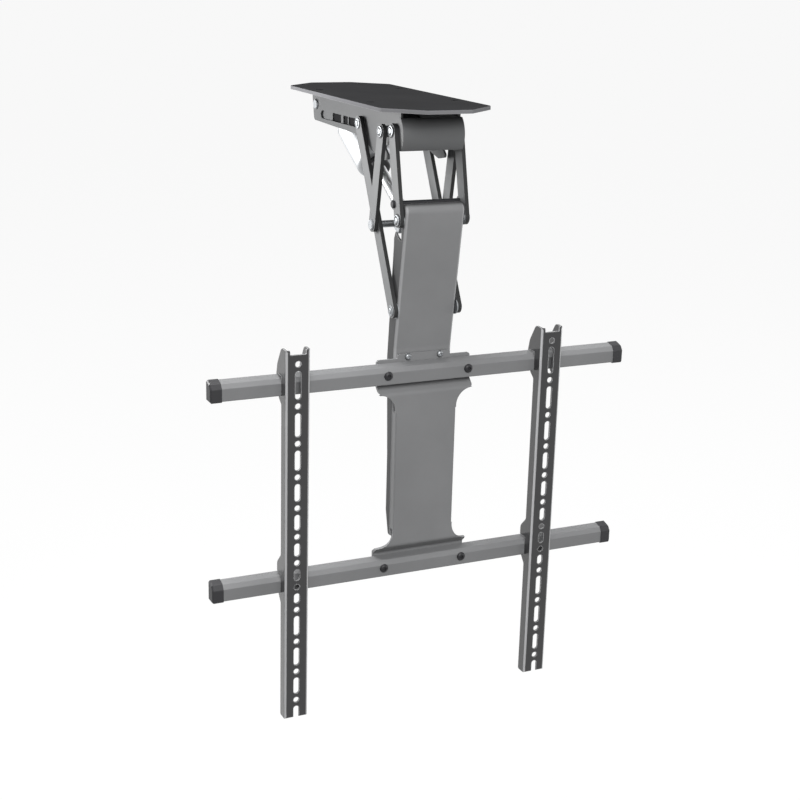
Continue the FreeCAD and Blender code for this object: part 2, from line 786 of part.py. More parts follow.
def rail_screws():
    """Four black screws through the rails and the frame plate."""
    grip = rail_depth + 0.2 + frame_sheet
    return Part.makeCompound([
        button_screw(x, z, rail_y, grip, rail_screw_head_radius, rail_screw_head_height)
        for z in rail_screw_levels() for x in (-rail_screw_x, rail_screw_x)])


def arm_bolts():
    """Two bright bolts through the frame plate's tab and the arm's web."""
    face = rail_y + rail_depth + 0.2
    return Part.makeCompound([
        button_screw(x, rail_z + tab_bolt_height, face, frame_sheet + arm_sheet,
                     tab_bolt_head_radius, rail_screw_head_height)
        for x in (-tab_bolt_x, tab_bolt_x)])


def bracket_outline():
    """Side-view outline of a bracket's flanges, notched for both rails."""
    front = rail_y - bracket_depth
    back = rail_y - bracket_rail_gap
    low = rail_z - rail_pitch
    high_ear = rail_z + rail_height + bracket_rail_gap
    lip = rail_y + rail_depth + bracket_rail_gap
    ear_back = rail_y + bracket_ear_reach
    return [
        (front, rail_z + bracket_top, 3),
        (front + 14, rail_z + bracket_top + 1, 8),
        (ear_back - 5, high_ear + 12, 14),
        (ear_back, high_ear - bracket_lip_drop, 1.2),
        (lip, high_ear - bracket_lip_drop, 1),
        (lip, high_ear, 1.2),
        (back, high_ear, 1),
        (back, rail_z - bracket_rail_gap, 1),
        (back + bracket_toe_reach, rail_z - bracket_rail_gap, 1.5),
        (back + bracket_toe_reach - 2, rail_z - 4, 2),
        (back, rail_z - bracket_rail_gap - bracket_toe_drop, 3),
        (back, low + rail_height + bracket_low_ear_height, 6),
        (back + 12, low + rail_height + bracket_low_ear_height - 12, 9),
        (back + 12, low + rail_height + bracket_rail_gap, 1.5),
        (back, low + rail_height + bracket_rail_gap, 1),
        (back, low - bracket_rail_gap, 1),
        (back + bracket_toe_reach, low - bracket_rail_gap, 1.5),
        (back, low - bracket_rail_gap - bracket_toe_drop - 2, 3),
        (back, rail_z + bracket_bottom, 2),
        (front, rail_z + bracket_bottom, 2),
    ]


def bracket_holes(centre_x):
    """Round holes and the slots between them, down the bracket's web."""
    cutters = []
    front = rail_y - bracket_depth - 1
    z = rail_z + first_hole_height
    levels = [z]
    for pitch in hole_pitches:
        z = z - pitch
        levels.append(z)
    ends = levels[1:] + [levels[-1] - last_slot_length - 2 * slot_bridge]
    for high, low in zip(levels, ends):
        cutters.append(y_cylinder(hole_radius, front, front + 6, centre_x, high))
        top = high - slot_bridge
        bottom = low + slot_bridge
        r = 0.98 * hole_radius
        cutters.append(front_prism([(centre_x - hole_radius, top, r), (centre_x + hole_radius, top, r),
                                    (centre_x + hole_radius, bottom, r),
                                    (centre_x - hole_radius, bottom, r)], front, front + 6))
    return cutters


def bracket(centre_x):
    """Vertical channel that the screen is screwed to, hooked over both rails."""
    low_x = centre_x - bracket_half_width
    high_x = centre_x + bracket_half_width
    front = rail_y - bracket_depth
    far = rail_y + 40
    t = bracket_sheet
    bend = bracket_bend_radius
    section = [(low_x, far, 0), (low_x, front, bend), (high_x, front, bend), (high_x, far, 0),
               (high_x - t, far, 0), (high_x - t, front + t, bend - t),
               (low_x + t, front + t, bend - t), (low_x + t, far, 0)]
    channel = top_prism(section, rail_z + bracket_bottom - 1, rail_z + bracket_top + 20)
    body = channel.common(side_prism(bracket_outline(), low_x, high_x))
    mouth = box((low_x + bracket_sheet + 3, front - 1, rail_z + bracket_top - 5),
                (high_x - bracket_sheet - 3, front + 10, rail_z + bracket_top + 20))
    body = body.cut(mouth)
    return body.cut(Part.makeCompound(bracket_holes(centre_x)))


def drive_frame():
    """Direction of the spindle from the crank shaft to the rear pivot, and its length."""
    line = heading(crank_pin, drive_pivot)
    length = math.hypot(drive_pivot[0] - crank_pin[0], drive_pivot[1] - crank_pin[1])
    return line, length


def along_drive(distance):
    """Point on the spindle's line, so far in front of the rear pivot."""
    line, _ = drive_frame()
    y, z = step(drive_pivot, line, -distance)
    return V(drive_x, y, z)


def drive_turn(profile):
    """Solid of revolution about the spindle's line from (distance, radius) points."""
    line, _ = drive_frame()
    axis = V(0, -line[0], -line[1])
    out = V(0, -line[1], line[0])
    points = [along_drive(d) + out * r for d, r in profile]
    points.append(points[0])
    return Part.Face(Part.makePolygon(points)).revolve(along_drive(0), axis, 360)


def drive_motor():
    """Bright round motor body of the spindle drive, with a rounded nose."""
    near = drive_near + gearbox_length
    far = near + drive_length - gearbox_length - drive_cap_length
    r = drive_radius
    n = drive_nose_radius
    nose = [(far - n + n * math.sin(math.radians(a)), r - n + n * math.cos(math.radians(a)))
            for a in (0, 22.5, 45, 67.5, 90)]
    return drive_turn([(near, 0), (near, r - 1), (near + 1, r)] + nose + [(far, 0)])


def drive_front_cap():
    """Black front bearing collar, bored for the spindle."""
    near = drive_near + drive_length - drive_cap_length
    far = near + drive_cap_length
    r = drive_cap_radius
    bore = spindle_radius
    return drive_turn([(near, bore), (near, r), (far - 1.5, r), (far, r - 1.5), (far, bore)])


def drive_gearbox():
    """Gearbox and rear eye of the spindle drive."""
    near = drive_near
    r = gearbox_radius
    body = drive_turn([(near, 0), (near, r - 3), (near + 4, r), (near + gearbox_length, r),
                       (near + gearbox_length, 0)])
    low_x = drive_x - clevis_half_width
    high_x = drive_x + clevis_half_width
    eye = x_cylinder(clevis_radius, low_x, high_x, drive_pivot)
    line, _ = drive_frame()
    normal = (-line[1], line[0])
    corners = [step(drive_pivot, normal, clevis_radius - 1), step(drive_pivot, normal, 1 - clevis_radius)]
    far = step(drive_pivot, line, -near - 1)
    corners += [step(far, normal, 1 - clevis_radius), step(far, normal, clevis_radius - 1)]
    neck = side_prism([(y, z, 0) for y, z in corners], low_x, high_x)
    return body.fuse([eye, neck]).removeSplitter()


def drive_spindle():
    """Round spindle from the front cap through the nut."""
    _, length = drive_frame()
    near = drive_near + drive_length - drive_cap_length
    far = length + spindle_end_past_nut
    r = spindle_radius
    return drive_turn([(near, 0), (near, r), (far - 1, r), (far, r - 1), (far, 0)])


def spindle_nut():
    """Nut block on the spindle, with a side bore for each half of the crank shaft."""
    _, length = drive_frame()
    line, _ = drive_frame()
    block = box((-nut_half_width, -nut_half_length, -nut_half_height),
                (nut_half_width, nut_half_length, nut_half_height))
    block = block.makeFillet(2.0, [e for e in block.Edges if e.Length > 2 * nut_half_width - 1e-3])
    bore = Part.makeCylinder(spindle_radius + spindle_running_gap, 4 * nut_half_length,
                             V(0, -2 * nut_half_length, 0), V(0, 1, 0))
    block = block.cut(bore)
    for side in (-1, 1):
        start = V(side * (nut_half_width - nut_journal_depth), 0, 0)
        block = block.cut(Part.makeCylinder(pivot_radius + pivot_running_gap, nut_journal_depth + 1,
                                            start, V(side, 0, 0)))
    block.rotate(V(0, 0, 0), V(1, 0, 0), math.degrees(math.atan2(line[1], line[0])))
    block.translate(V(drive_x, crank_pin[0], crank_pin[1]))
    return block


def build():
    """Make every node."""
    save("ceiling_plate", ceiling_plate())
    save("housing", housing())
    save("slot_liner_left", slot_liner(-1))
    save("slot_liner_right", slot_liner(1))
    save("slot_bars", slot_bars())
    save("front_cover", front_cover())
    save("swing_pivot_pins", both_sides(wall_pin(swing_pivot, inner_link_out, inner_link_x)))
    save("crank_pivot_pins", both_sides(wall_pin(crank_pivot, outer_link_out, outer_link_x)))
    save("rear_drive_pins", rear_pins())
    save("swing_link_right", swing_link())
    save("swing_link_left", mirrored(swing_link()))
    save("swing_cross_bar", cross_bar())
    save("cross_bar_bolts", both_sides(bar_bolt()))
    save("crank_link_right", crank_link())
    save("crank_link_left", mirrored(crank_link()))
    save("crank_shaft_right", crank_shaft(1))
    save("crank_shaft_left", crank_shaft(-1))
    save("lift_rod_right", lift_rod())
    save("lift_rod_left", mirrored(lift_rod()))
    save("guide_pins", both_sides(guide_stud()))
    save("rod_arm_pins", both_sides(rod_stud()))
    save("lift_arm", lift_arm())
    save("arm_bosses", arm_boss())
    save("arm_pivot_pins", both_sides(arm_stud()))
    save("frame_plate", frame_plate())
    save("upper_rail", rail())
    save("lower_rail", moved(rail(), -rail_pitch))
    save("upper_cap_right", end_cap())
    save("upper_cap_left", mirrored(end_cap()))
    save("lower_cap_right", moved(end_cap(), -rail_pitch))
    save("lower_cap_left", moved(mirrored(end_cap()), -rail_pitch))
    save("rail_screws", rail_screws())
    save("arm_bolts", arm_bolts())
    save("left_bracket", bracket(bracket_left_x))
    save("right_bracket", bracket(bracket_right_x))
    save("drive_motor", drive_motor())
    save("drive_front_cap", drive_front_cap())
    save("drive_gearbox", drive_gearbox())
    save("drive_spindle", drive_spindle())
    save("spindle_nut", spindle_nut())


build()
os.makedirs("parts", exist_ok=True)
for name, shape in parts.items():
    shape.exportStep("parts/" + name + ".step")
    print(name, len(shape.Solids), shape.isValid(), round(shape.Volume))
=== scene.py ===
"""Looks of the motorised ceiling mount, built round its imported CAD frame.

Each sub-assembly is one class. It dresses the CAD nodes that stay and makes the pieces that
take the place of plainer ones. What repeats is set out by Geometry Nodes. Sizes of pieces are in
millimetres, and those of patterns, marks and the stage in metres.
"""
import enum
import logging
import math
from dataclasses import dataclass, field
from typing import Optional, Union

import bmesh
import bpy
from mathutils import Matrix, Vector


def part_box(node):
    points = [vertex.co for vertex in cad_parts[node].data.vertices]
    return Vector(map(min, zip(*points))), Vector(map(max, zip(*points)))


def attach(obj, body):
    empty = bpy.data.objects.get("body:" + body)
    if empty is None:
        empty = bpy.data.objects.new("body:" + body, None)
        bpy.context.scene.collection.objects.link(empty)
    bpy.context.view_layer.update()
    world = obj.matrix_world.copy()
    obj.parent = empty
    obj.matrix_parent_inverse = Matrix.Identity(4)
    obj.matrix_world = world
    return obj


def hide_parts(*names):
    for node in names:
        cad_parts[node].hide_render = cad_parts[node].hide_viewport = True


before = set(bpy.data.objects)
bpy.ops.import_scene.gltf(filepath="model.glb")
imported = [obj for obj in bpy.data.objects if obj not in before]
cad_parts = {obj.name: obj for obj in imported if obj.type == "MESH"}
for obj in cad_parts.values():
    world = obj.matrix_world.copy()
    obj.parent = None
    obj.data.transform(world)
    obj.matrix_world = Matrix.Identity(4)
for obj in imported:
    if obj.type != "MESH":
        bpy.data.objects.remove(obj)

log = logging.getLogger("ceiling_mount")

MM = 0.001
Span = tuple[float, float]
Place = tuple[float, float, float]
Colour = tuple[float, float, float]
Mark = tuple[Vector, Vector]
Socket = bpy.types.NodeSocket
Source = Union[bpy.types.NodeSocket, float, tuple[float, ...]]


def in_scene(name: str, data: bpy.types.ID) -> bpy.types.Object:
    """Make an object for some data and link it to the scene.

    Args:
        name: The object's name.
        data: Its mesh, lamp or camera.

    Returns:
        The new object, at the origin.
    """
    thing = bpy.data.objects.new(name, data)
    bpy.context.scene.collection.objects.link(thing)
    return thing


# Node trees


class Tree:
    """A node tree, with short ways to add nodes and to join them."""

    def __init__(self, tree: bpy.types.NodeTree) -> None:
        """Take over the tree that gets the nodes."""
        self.tree = tree
        self.nodes = tree.nodes

    def add(self, kind: str, **settings: object) -> bpy.types.Node:
        """Add a node and set its options.

        Args:
            kind: The node's type.
            **settings: Its options by name.

        Returns:
            The new node.
        """
        node = self.nodes.new(kind)
        for key, value in settings.items():
            setattr(node, key, value)
        return node

    def link(self, source: Socket, target: Socket) -> None:
        """Join an output to an input."""
        self.tree.links.new(source, target)

    def feed(self, source: Source, target: Socket) -> None:
        """Give an input its value.

        Args:
            source: An output to link, or a plain number or colour.
            target: The input.
        """
        if isinstance(source, Socket):
            self.link(source, target)
        else:
            target.default_value = source


class ShaderTree(Tree):
    """The tree of a material or of the world."""

    def calc(self, operation: str, *sources: Source) -> Socket:
        """Add a Math node.

        Args:
            operation: What it works out.
            *sources: Its inputs in order.

        Returns:
            Its result.
        """
        node = self.add("ShaderNodeMath", operation=operation)
        for index, source in enumerate(sources):
            self.feed(source, node.inputs[index])
        return node.outputs["Value"]

    def band(self, value: Socket, source: Span, target: Span) -> Socket:
        """Map one span of a value to another, and hold it at the ends.

        Args:
            value: The value.
            source: The span that it has.
            target: The span that it gets.

        Returns:
            The mapped value.
        """
        node = self.add("ShaderNodeMapRange")
        names = ("From Min", "From Max", "To Min", "To Max")
        for name, end in zip(names, (*source, *target)):
            node.inputs[name].default_value = end
        self.link(value, node.inputs["Value"])
        return node.outputs["Result"]

    def mix_colours(self, factor: Socket, first: Socket, second: Source) -> Socket:
        """Mix two colours.

        Args:
            factor: Zero for the first colour and one for the second.
            first: The first colour.
            second: The second colour.

        Returns:
            The mixed colour.
        """
        node = self.add("ShaderNodeMix", data_type="RGBA")
        self.link(factor, node.inputs["Factor"])
        self.link(first, node.inputs["A"])
        self.feed(second, node.inputs["B"])
        return node.outputs["Result"]

    def mix_shaders(self, factor: Source, first: Socket, second: Socket) -> Socket:
        """Mix two shaders.

        Args:
            factor: Zero for the first shader and one for the second.
            first: The first shader.
            second: The second shader.

        Returns:
            The mixed shader.
        """
        node = self.add("ShaderNodeMixShader")
        self.feed(factor, node.inputs["Fac"])
        self.link(first, node.inputs[1])
        self.link(second, node.inputs[2])
        return node.outputs["Shader"]

    def seen_directly(self) -> Socket:
        """Mask that is one for camera, glossy and transmission rays.

        Returns:
            The mask.
        """
        rays = self.add("ShaderNodeLightPath")
        mask = rays.outputs["Is Camera Ray"]
        for other in ("Is Glossy Ray", "Is Transmission Ray"):
            mask = self.calc("MAXIMUM", mask, rays.outputs[other])
        return mask


class Surface(ShaderTree):
    """A new material's tree, with every pattern on Object coordinates."""

    def __init__(self, name: str) -> None:
        """Start a material with its shader and its texture coordinates.

        Args:
            name: The material's name.
        """
        self.material = bpy.data.materials.new(name)
        self.material.use_nodes = True
        super().__init__(self.material.node_tree)
        self.shader = self.nodes["Principled BSDF"]
        coordinates = self.add("ShaderNodeTexCoord").outputs
        self.place = coordinates["Object"]
        self.normal = coordinates["Normal"]

    def noise(self, scale: float, detail: float) -> Socket:
        """Add a noise.

        Args:
            scale: Its cycles per metre.
            detail: Its number of octaves.

        Returns:
            The noise, from zero to one.
        """
        node = self.add("ShaderNodeTexNoise")
        node.inputs["Scale"].default_value = scale
        node.inputs["Detail"].default_value = detail
        self.link(self.place, node.inputs["Vector"])
        return node.outputs["Fac"]

    def axes(self, vector: Socket) -> bpy.types.NodeOutputs:
        """Split a vector.

        Args:
            vector: The vector.

        Returns:
            Its parts, named X, Y and Z.
        """
        node = self.add("ShaderNodeSeparateXYZ")
        self.link(vector, node.inputs["Vector"])
        return node.outputs


# Finishes

UNIT: Span = (0.0, 1.0)
RELIEF_STRENGTH = 0.35
RELIEF_DETAIL = 3.0
GLOSS_SCALE = 0.3
GLOSS_DETAIL = 2.0
LEAST_ROUGHNESS = 0.05
BLOTCH_DETAIL = 4.0
BLOTCH_BAND: Span = (0.3, 0.7)
# Bands, samples and colour of the painted light, shade and highlights on edges and bends.
PAINTED_LIGHT_BAND: Span = (0.35, 0.75)
BEND_HIGHLIGHT_BAND: Span = (0.16, 0.42)
EDGE_HIGHLIGHT_BAND: Span = (0.80, 0.985)
EDGE_HIGHLIGHT_SAMPLES = 6
PAINTED_HIGHLIGHT_COLOUR = (0.50, 0.50, 0.51, 1.0)


@dataclass(frozen=True)
class Finish:
    """A surface finish with fine relief, soft blotches, uneven gloss and painted light and shade.

    Attributes:
        name: The material's name.
        slot: The material slot that it stands for, not used here.
        colour: Its linear colour.
        roughness: Its middle roughness.
        metallic: One for metal.
        specular: Strength of its reflection.
        coat: Weight of a clear coat over it.
        coat_roughness: Roughness of that coat.
        grain_scale: Cycles per metre of the fine relief.
        grain_depth: Depth of the relief in metres.
        blotch_scale: Cycles per metre of the blotches.
        blotch: How far the colour wanders, as a part of it.
        gloss_spread: How far the roughness wanders.
        painted_light_and_shade: Factor on the colour where the surface turns away from
        face_axis, painting light there above one and shade below one.
        face_axis: The axis along which the faces of a flat piece look.
        painted_edge_highlight: How pale the painted highlight lines over bends and cut edges are.
        painted_edge_highlight_width: Width of those painted highlight lines in metres.
        painted_bend_highlight: How pale the painted highlight on upright bends is.
        painted_light_rim: Reach along X and Y within which edges keep the plain colour, without
        their painted light and highlights, or None.
    """

    name: str
    slot: str
    colour: Colour
    roughness: float
    metallic: float = 0.0
    specular: float = 0.5
    coat: float = 0.0
    coat_roughness: float = 0.2
    grain_scale: float = 900.0
    grain_depth: float = 0.00008
    blotch_scale: float = 14.0
    blotch: float = 0.06
    gloss_spread: float = 0.06
    painted_light_and_shade: float = 1.0
    face_axis: str = "X"
    painted_edge_highlight: float = 0.0
    painted_edge_highlight_width: float = 0.0009
    painted_bend_highlight: float = 0.0
    painted_light_rim: Optional[Span] = None

    def material(self) -> bpy.types.Material:
        """Make the finish's material, or return it if it is made already.

        Returns:
            The material.
        """
        made = bpy.data.materials.get(self.name)
        if made is not None:
            return made
        surface = Surface(self.name)
        inputs = surface.shader.inputs
        inputs["Metallic"].default_value = self.metallic
        inputs["Specular IOR Level"].default_value = self.specular
        inputs["Coat Weight"].default_value = self.coat
        inputs["Coat Roughness"].default_value = self.coat_roughness
        surface.link(self._relief(surface), inputs["Normal"])
        surface.link(self._tone(surface), inputs["Base Color"])
        surface.link(self._gloss(surface), inputs["Roughness"])
        return surface.material

    def _relief(self, surface: Surface) -> Socket:
        """Fine bumps, like the texture of a coat.

        Args:
            surface: The material's tree.

        Returns:
            The bumped normal.
        """
        bump = surface.add("ShaderNodeBump")
        bump.inputs["Strength"].default_value = RELIEF_STRENGTH
        bump.inputs["Distance"].default_value = self.grain_depth
        surface.link(surface.noise(self.grain_scale, RELIEF_DETAIL), bump.inputs["Height"])
        return bump.outputs["Normal"]

    def _gloss(self, surface: Surface) -> Socket:
        """Roughness that wanders a little.

        Args:
            surface: The material's tree.

        Returns:
            The roughness.
        """
        fine = surface.noise(self.grain_scale * GLOSS_SCALE, GLOSS_DETAIL)
        low = max(LEAST_ROUGHNESS, self.roughness - self.gloss_spread)
        return surface.band(fine, UNIT, (low, self.roughness + self.gloss_spread))

    def _tone(self, surface: Surface) -> Socket:
        """Colour with its blotches and the painted light, shade and highlights of edges and
        bends.

        Args:
            surface: The material's tree.

        Returns:
            The whole colour.
        """
        plain = self._blotches(surface)
        colour = plain
        if self.painted_light_and_shade != 1:
            colour = self._paint_light_and_shade(surface, colour)
        if self.painted_edge_highlight > 0:
            colour = self._paint_edge_highlights(surface, colour)
        if self.painted_bend_highlight > 0:
            colour = self._paint_bend_highlights(surface, colour)
        if self.painted_light_rim is not None:
            colour = self._keep_painted_light_to_rim(surface, plain, colour)
        return colour

    def _blotches(self, surface: Surface) -> Socket:
        """Colour that wanders a little over the surface.

        Args:
            surface: The material's tree.

        Returns:
            The plain colour.
        """
        ramp = surface.add("ShaderNodeValToRGB")
        tones = (1.0 - self.blotch, 1.0 + self.blotch)
        for element, position, tone in zip(ramp.color_ramp.elements, BLOTCH_BAND, tones):
            element.position = position
            element.color = (*(part * tone for part in self.colour), 1.0)
        surface.link(surface.noise(self.blotch_scale, BLOTCH_DETAIL), ramp.inputs["Fac"])
        return ramp.outputs["Color"]

    def _paint_light_and_shade(self, surface: Surface, colour: Socket) -> Socket:
        """Paint light on a flat piece's edges with a factor over one, and shade with one under.

        Args:
            surface: The material's tree.
            colour: The colour so far.

        Returns:
            The colour with the edges' painted light and shade in it.
        """
        straight = surface.calc("ABSOLUTE", surface.axes(surface.normal)[self.face_axis])
        tone = surface.band(straight, PAINTED_LIGHT_BAND, (self.painted_light_and_shade, 1.0))
        scale = surface.add("ShaderNodeVectorMath", operation="SCALE")
        surface.link(colour, scale.inputs["Vector"])
        surface.link(tone, scale.inputs["Scale"])
        return scale.outputs["Vector"]

    def _paint_edge_highlights(self, surface: Surface, colour: Socket) -> Socket:
        """Paint pale highlight lines over bends and cut edges.

        Args:
            surface: The material's tree.
            colour: The colour so far.

        Returns:
            The colour with the painted highlight lines in it.
        """
        soft = surface.add("ShaderNodeBevel", samples=EDGE_HIGHLIGHT_SAMPLES)
        soft.inputs["Radius"].default_value = self.painted_edge_highlight_width
        plain = surface.add("ShaderNodeNewGeometry")
        match = surface.add("ShaderNodeVectorMath", operation="DOT_PRODUCT")
        surface.link(soft.outputs["Normal"], match.inputs[0])
        surface.link(plain.outputs["Normal"], match.inputs[1])
        highlight_mask = surface.band(match.outputs["Value"], EDGE_HIGHLIGHT_BAND, (self.painted_edge_highlight, 0.0))
        return surface.mix_colours(highlight_mask, colour, PAINTED_HIGHLIGHT_COLOUR)

    def _paint_bend_highlights(self, surface: Surface, colour: Socket) -> Socket:
        """Paint pale highlights on upright bends, whose normals lie between X and Y.

        Args:
            surface: The material's tree.
            colour: The colour so far.

        Returns:
            The colour with the painted bend highlights in it.
        """
        parts = surface.axes(surface.normal)
        both = surface.calc("ABSOLUTE", surface.calc("MULTIPLY", parts["X"], parts["Y"]))
        pale = surface.band(both, BEND_HIGHLIGHT_BAND, (0.0, self.painted_bend_highlight))
        return surface.mix_colours(pale, colour, PAINTED_HIGHLIGHT_COLOUR)

    def _keep_painted_light_to_rim(self, surface: Surface, plain: Socket, colour: Socket) -> Socket:
        """Keep the painted light and highlights to the rim, so that holes further in stay plain.

        Args:
            surface: The material's tree.
            plain: The colour without the painted light and highlights.
            colour: The colour with them.

        Returns:
            The plain colour within the rim's reach and the other one past it.
        """
        parts = surface.axes(surface.place)
        past = [surface.calc("GREATER_THAN", surface.calc("ABSOLUTE", parts[axis]), reach)
                for axis, reach in zip("XY", self.painted_light_rim)]
        return surface.mix_colours(surface.calc("MAXIMUM", *past), plain, colour)


# Black brackets, with painted highlights on their bends and cut edges.
BLACK_COAT = Finish("black_powder_coat", "black_coat", (0.016, 0.016, 0.017), 0.40, specular=0.1,
                    coat=1.0, coat_roughness=0.10, grain_depth=0.00002, painted_edge_highlight=0.8, painted_edge_highlight_width=0.0018,
                    painted_bend_highlight=0.8)
# Black ceiling plate, with painted light on the faces that do not look up, such as its lip, and
# painted highlights on its outer edges.
PLATE_COAT = Finish("plate_powder_coat", "black_coat", (0.025, 0.025, 0.026), 0.60, specular=0.0,
                    painted_light_and_shade=7.0, face_axis="Z", painted_edge_highlight=0.45, painted_light_rim=(0.060, 0.100))
GREY_COAT = Finish("grey_powder_coat", "grey_coat", (0.190, 0.192, 0.195), 0.40, specular=0.12)
# Rails, with faint painted highlights on their edges.
RAIL_COAT = Finish("rail_powder_coat", "grey_coat", (0.165, 0.167, 0.170), 0.32, specular=0.4,
                   grain_depth=0.00002, painted_edge_highlight=0.2)
# Lift arm, with painted shade on the faces that do not look along Y, such as its side walls, and
# painted highlights on its edges and bends.
ARM_COAT = Finish("arm_powder_coat", "grey_coat", (0.195, 0.197, 0.200), 0.40, specular=0.12,
                  painted_light_and_shade=0.30, face_axis="Y", painted_edge_highlight=0.5, painted_edge_highlight_width=0.0012, painted_bend_highlight=0.4)
COVER_COAT = Finish("cover_powder_coat", "grey_coat", (0.105, 0.107, 0.109), 0.38, specular=0.2)
# Links, with painted shade on the edges that do not look along X.
LINK_COAT = Finish("link_powder_coat", "link_coat", (0.175, 0.178, 0.181), 0.40, specular=0.2,
                   painted_light_and_shade=0.13)
ZINC = Finish("bright_zinc", "zinc", (0.27, 0.28, 0.29), 0.42, metallic=1.0, blotch=0.10,
              grain_scale=500.0, grain_depth=0.00003)
MOTOR_METAL = Finish("bright_motor_case", "drive_metal", (0.45, 0.46, 0.47), 0.55, metallic=1.0,
                     blotch=0.03, grain_scale=700.0, grain_depth=0.00002)
SPINDLE_STEEL = Finish("polished_spindle", "spindle_steel", (0.60, 0.61, 0.62), 0.30,
                       metallic=1.0, grain_depth=0.00001)
GEAR_METAL = Finish("cast_gearbox", "gear_metal", (0.48, 0.49, 0.50), 0.42, metallic=1.0,
                    grain_scale=1100.0, grain_depth=0.00006)
BLACK_STEEL = Finish("blackened_steel", "black_steel", (0.016, 0.016, 0.018), 0.42,
                     specular=0.25, blotch=0.12, grain_scale=600.0, grain_depth=0.00003)
MOULDED = Finish("moulded_black_plastic", "black_plastic", (0.018, 0.018, 0.020), 0.48,
                 specular=0.35, grain_scale=1600.0, grain_depth=0.00004)
SLOT_PLASTIC = Finish("matte_black_plastic", "black_plastic", (0.008, 0.008, 0.009), 0.70,
                      specular=0.05, grain_scale=1600.0, grain_depth=0.00004)
BAR_PLASTIC = Finish("moulded_grey_plastic", "light_plastic", (0.110, 0.112, 0.114), 0.50,
                     specular=0.2, grain_scale=1600.0, grain_depth=0.00004)


def paint(coats: dict[str, Finish]) -> None:
    """Give the objects of CAD nodes their finishes, in every material slot.

    Args:
        coats: The finish of each node by its name.
    """
    for node, finish in coats.items():
        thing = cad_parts[node]
        if not thing.material_slots:
            thing.data.materials.append(finish.material())
        for slot in thing.material_slots:
            slot.link = "OBJECT"
            slot.material = finish.material()
        log.info("painted %s with %s", node, finish.name)


def place_piece(thing: bpy.types.Object, finish: Finish, body: str,
                nodes: tuple[str, ...] = ()) -> None:
    """Finish a made piece: its material, its body and the CAD nodes that it stands for.

    Args:
        thing: The piece, with its place in its mesh.
        finish: The finish it gets.
        body: The CAD body that it rides on.
        nodes: CAD nodes that it replaces, or none.
    """
    thing.data.materials.clear()
    thing.data.materials.append(finish.material())
    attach(thing, body)
    if nodes:
        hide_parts(*nodes)
    log.info("made %s on %s: %d faces", thing.name, body, len(thing.data.polygons))


# Turned pieces

MERGE_DISTANCE = 1e-7
SMOOTH_ANGLE = 28.0
FACETS = 36
RING_FACETS = 32
# Radius of a row that closes an end, in place of a point on the axis.
AXIS = 0.1
# A crown just over that of a hexagon's corners, which leaves the hexagon whole.
WHOLE = 1.1548


class Section(enum.Enum):
    """How a turned row is cut: round, or with six flats."""

    ROUND = "round"
    HEX = "hex"


@dataclass(frozen=True)
class Row:
    """One ring of a turned piece.

    Attributes:
        along: Its place along the axis.
        radius: Its radius, which is half the width across flats where it is hexagonal.
        section: Its section.
        crown: Limit on the radius of a hexagon's corners, as a multiple of radius.
    """

    along: float
    radius: float
    section: Section = Section.ROUND
    crown: float = 1.0

    def radius_at(self, turn: float) -> float:
        """Radius at an angle round the axis.

        Args:
            turn: The angle in radians.

        Returns:
            The radius in millimetres.
        """
        if self.section is Section.ROUND:
            return self.radius
        sixth = math.pi / 3
        off = turn % sixth - sixth / 2
        return min(self.radius / math.cos(off), self.radius * self.crown)


def outline(table: tuple[Span, ...], along: float = 0.0, radius: float = 0.0) -> list[Row]:
    """Round rows from a table of places and radii, which count from along and radius."""
    return [Row(along + far, radius + wide) for far, wide in table]


def turned(rows: list[Row], name: str, facets: int = FACETS) -> bpy.types.Object:
    """Turn an outline about +Z, from its first row to its last.

    Args:
        rows: The rings in order. The first and last close the ends, unless they are one and the
            same, which leaves a hole along the axis.
        name: The object's name.
        facets: Sides round the axis, a multiple of six where a row is hexagonal.

    Returns:
        The turned object, in metres, with its axis on Z.
    """
    bm = bmesh.new()
    rings = []
    for row in rows:
        ring = []
        for index in range(facets):
            turn = 2 * math.pi * index / facets
            radius = row.radius_at(turn) * MM
            ring.append(bm.verts.new((radius * math.cos(turn), radius * math.sin(turn),
                                      row.along * MM)))
        rings.append(ring)
    for low, high in zip(rings, rings[1:]):
        for index in range(facets):
            after = (index + 1) % facets
            bm.faces.new((low[index], low[after], high[after], high[index]))
    if rows[0] != rows[-1]:
        bm.faces.new(rings[0])
        bm.faces.new(rings[-1])
    return smoothed(bm, name)


def smoothed(bm: bmesh.types.BMesh, name: str) -> bpy.types.Object:
    """Turn a bmesh into an object, smooth except at edges sharper than SMOOTH_ANGLE.

    Args:
        bm: The mesh, which is freed.
        name: The object's name.

    Returns:
        The new object, at the origin.
    """
    bmesh.ops.remove_doubles(bm, verts=bm.verts, dist=MERGE_DISTANCE)
    bmesh.ops.recalc_face_normals(bm, faces=bm.faces)
    limit = math.radians(SMOOTH_ANGLE)
    for face in bm.faces:
        face.smooth = True
    for edge in bm.edges:
        edge.smooth = len(edge.link_faces) == 2 and edge.calc_face_angle(0.0) < limit
    mesh = bpy.data.meshes.new(name)
    bm.to_mesh(mesh)
    bm.free()
    return in_scene(name, mesh)


def aim(direction: Vector) -> Matrix:
    """Rotation that turns +Z to a direction, as a 4 by 4 matrix."""
    return direction.to_track_quat("Z", "Y").to_matrix().to_4x4()


def low_high(node: str) -> tuple[Vector, Vector]:
    """Lowest and highest corner of a CAD node's box, in metres."""
    low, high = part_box(node)
    return Vector(low), Vector(high)


def centre_of(node: str) -> Vector:
    """Middle of a CAD node's box, in metres."""
    low, high = low_high(node)
    return (low + high) / 2


# Pieces set out by Geometry Nodes


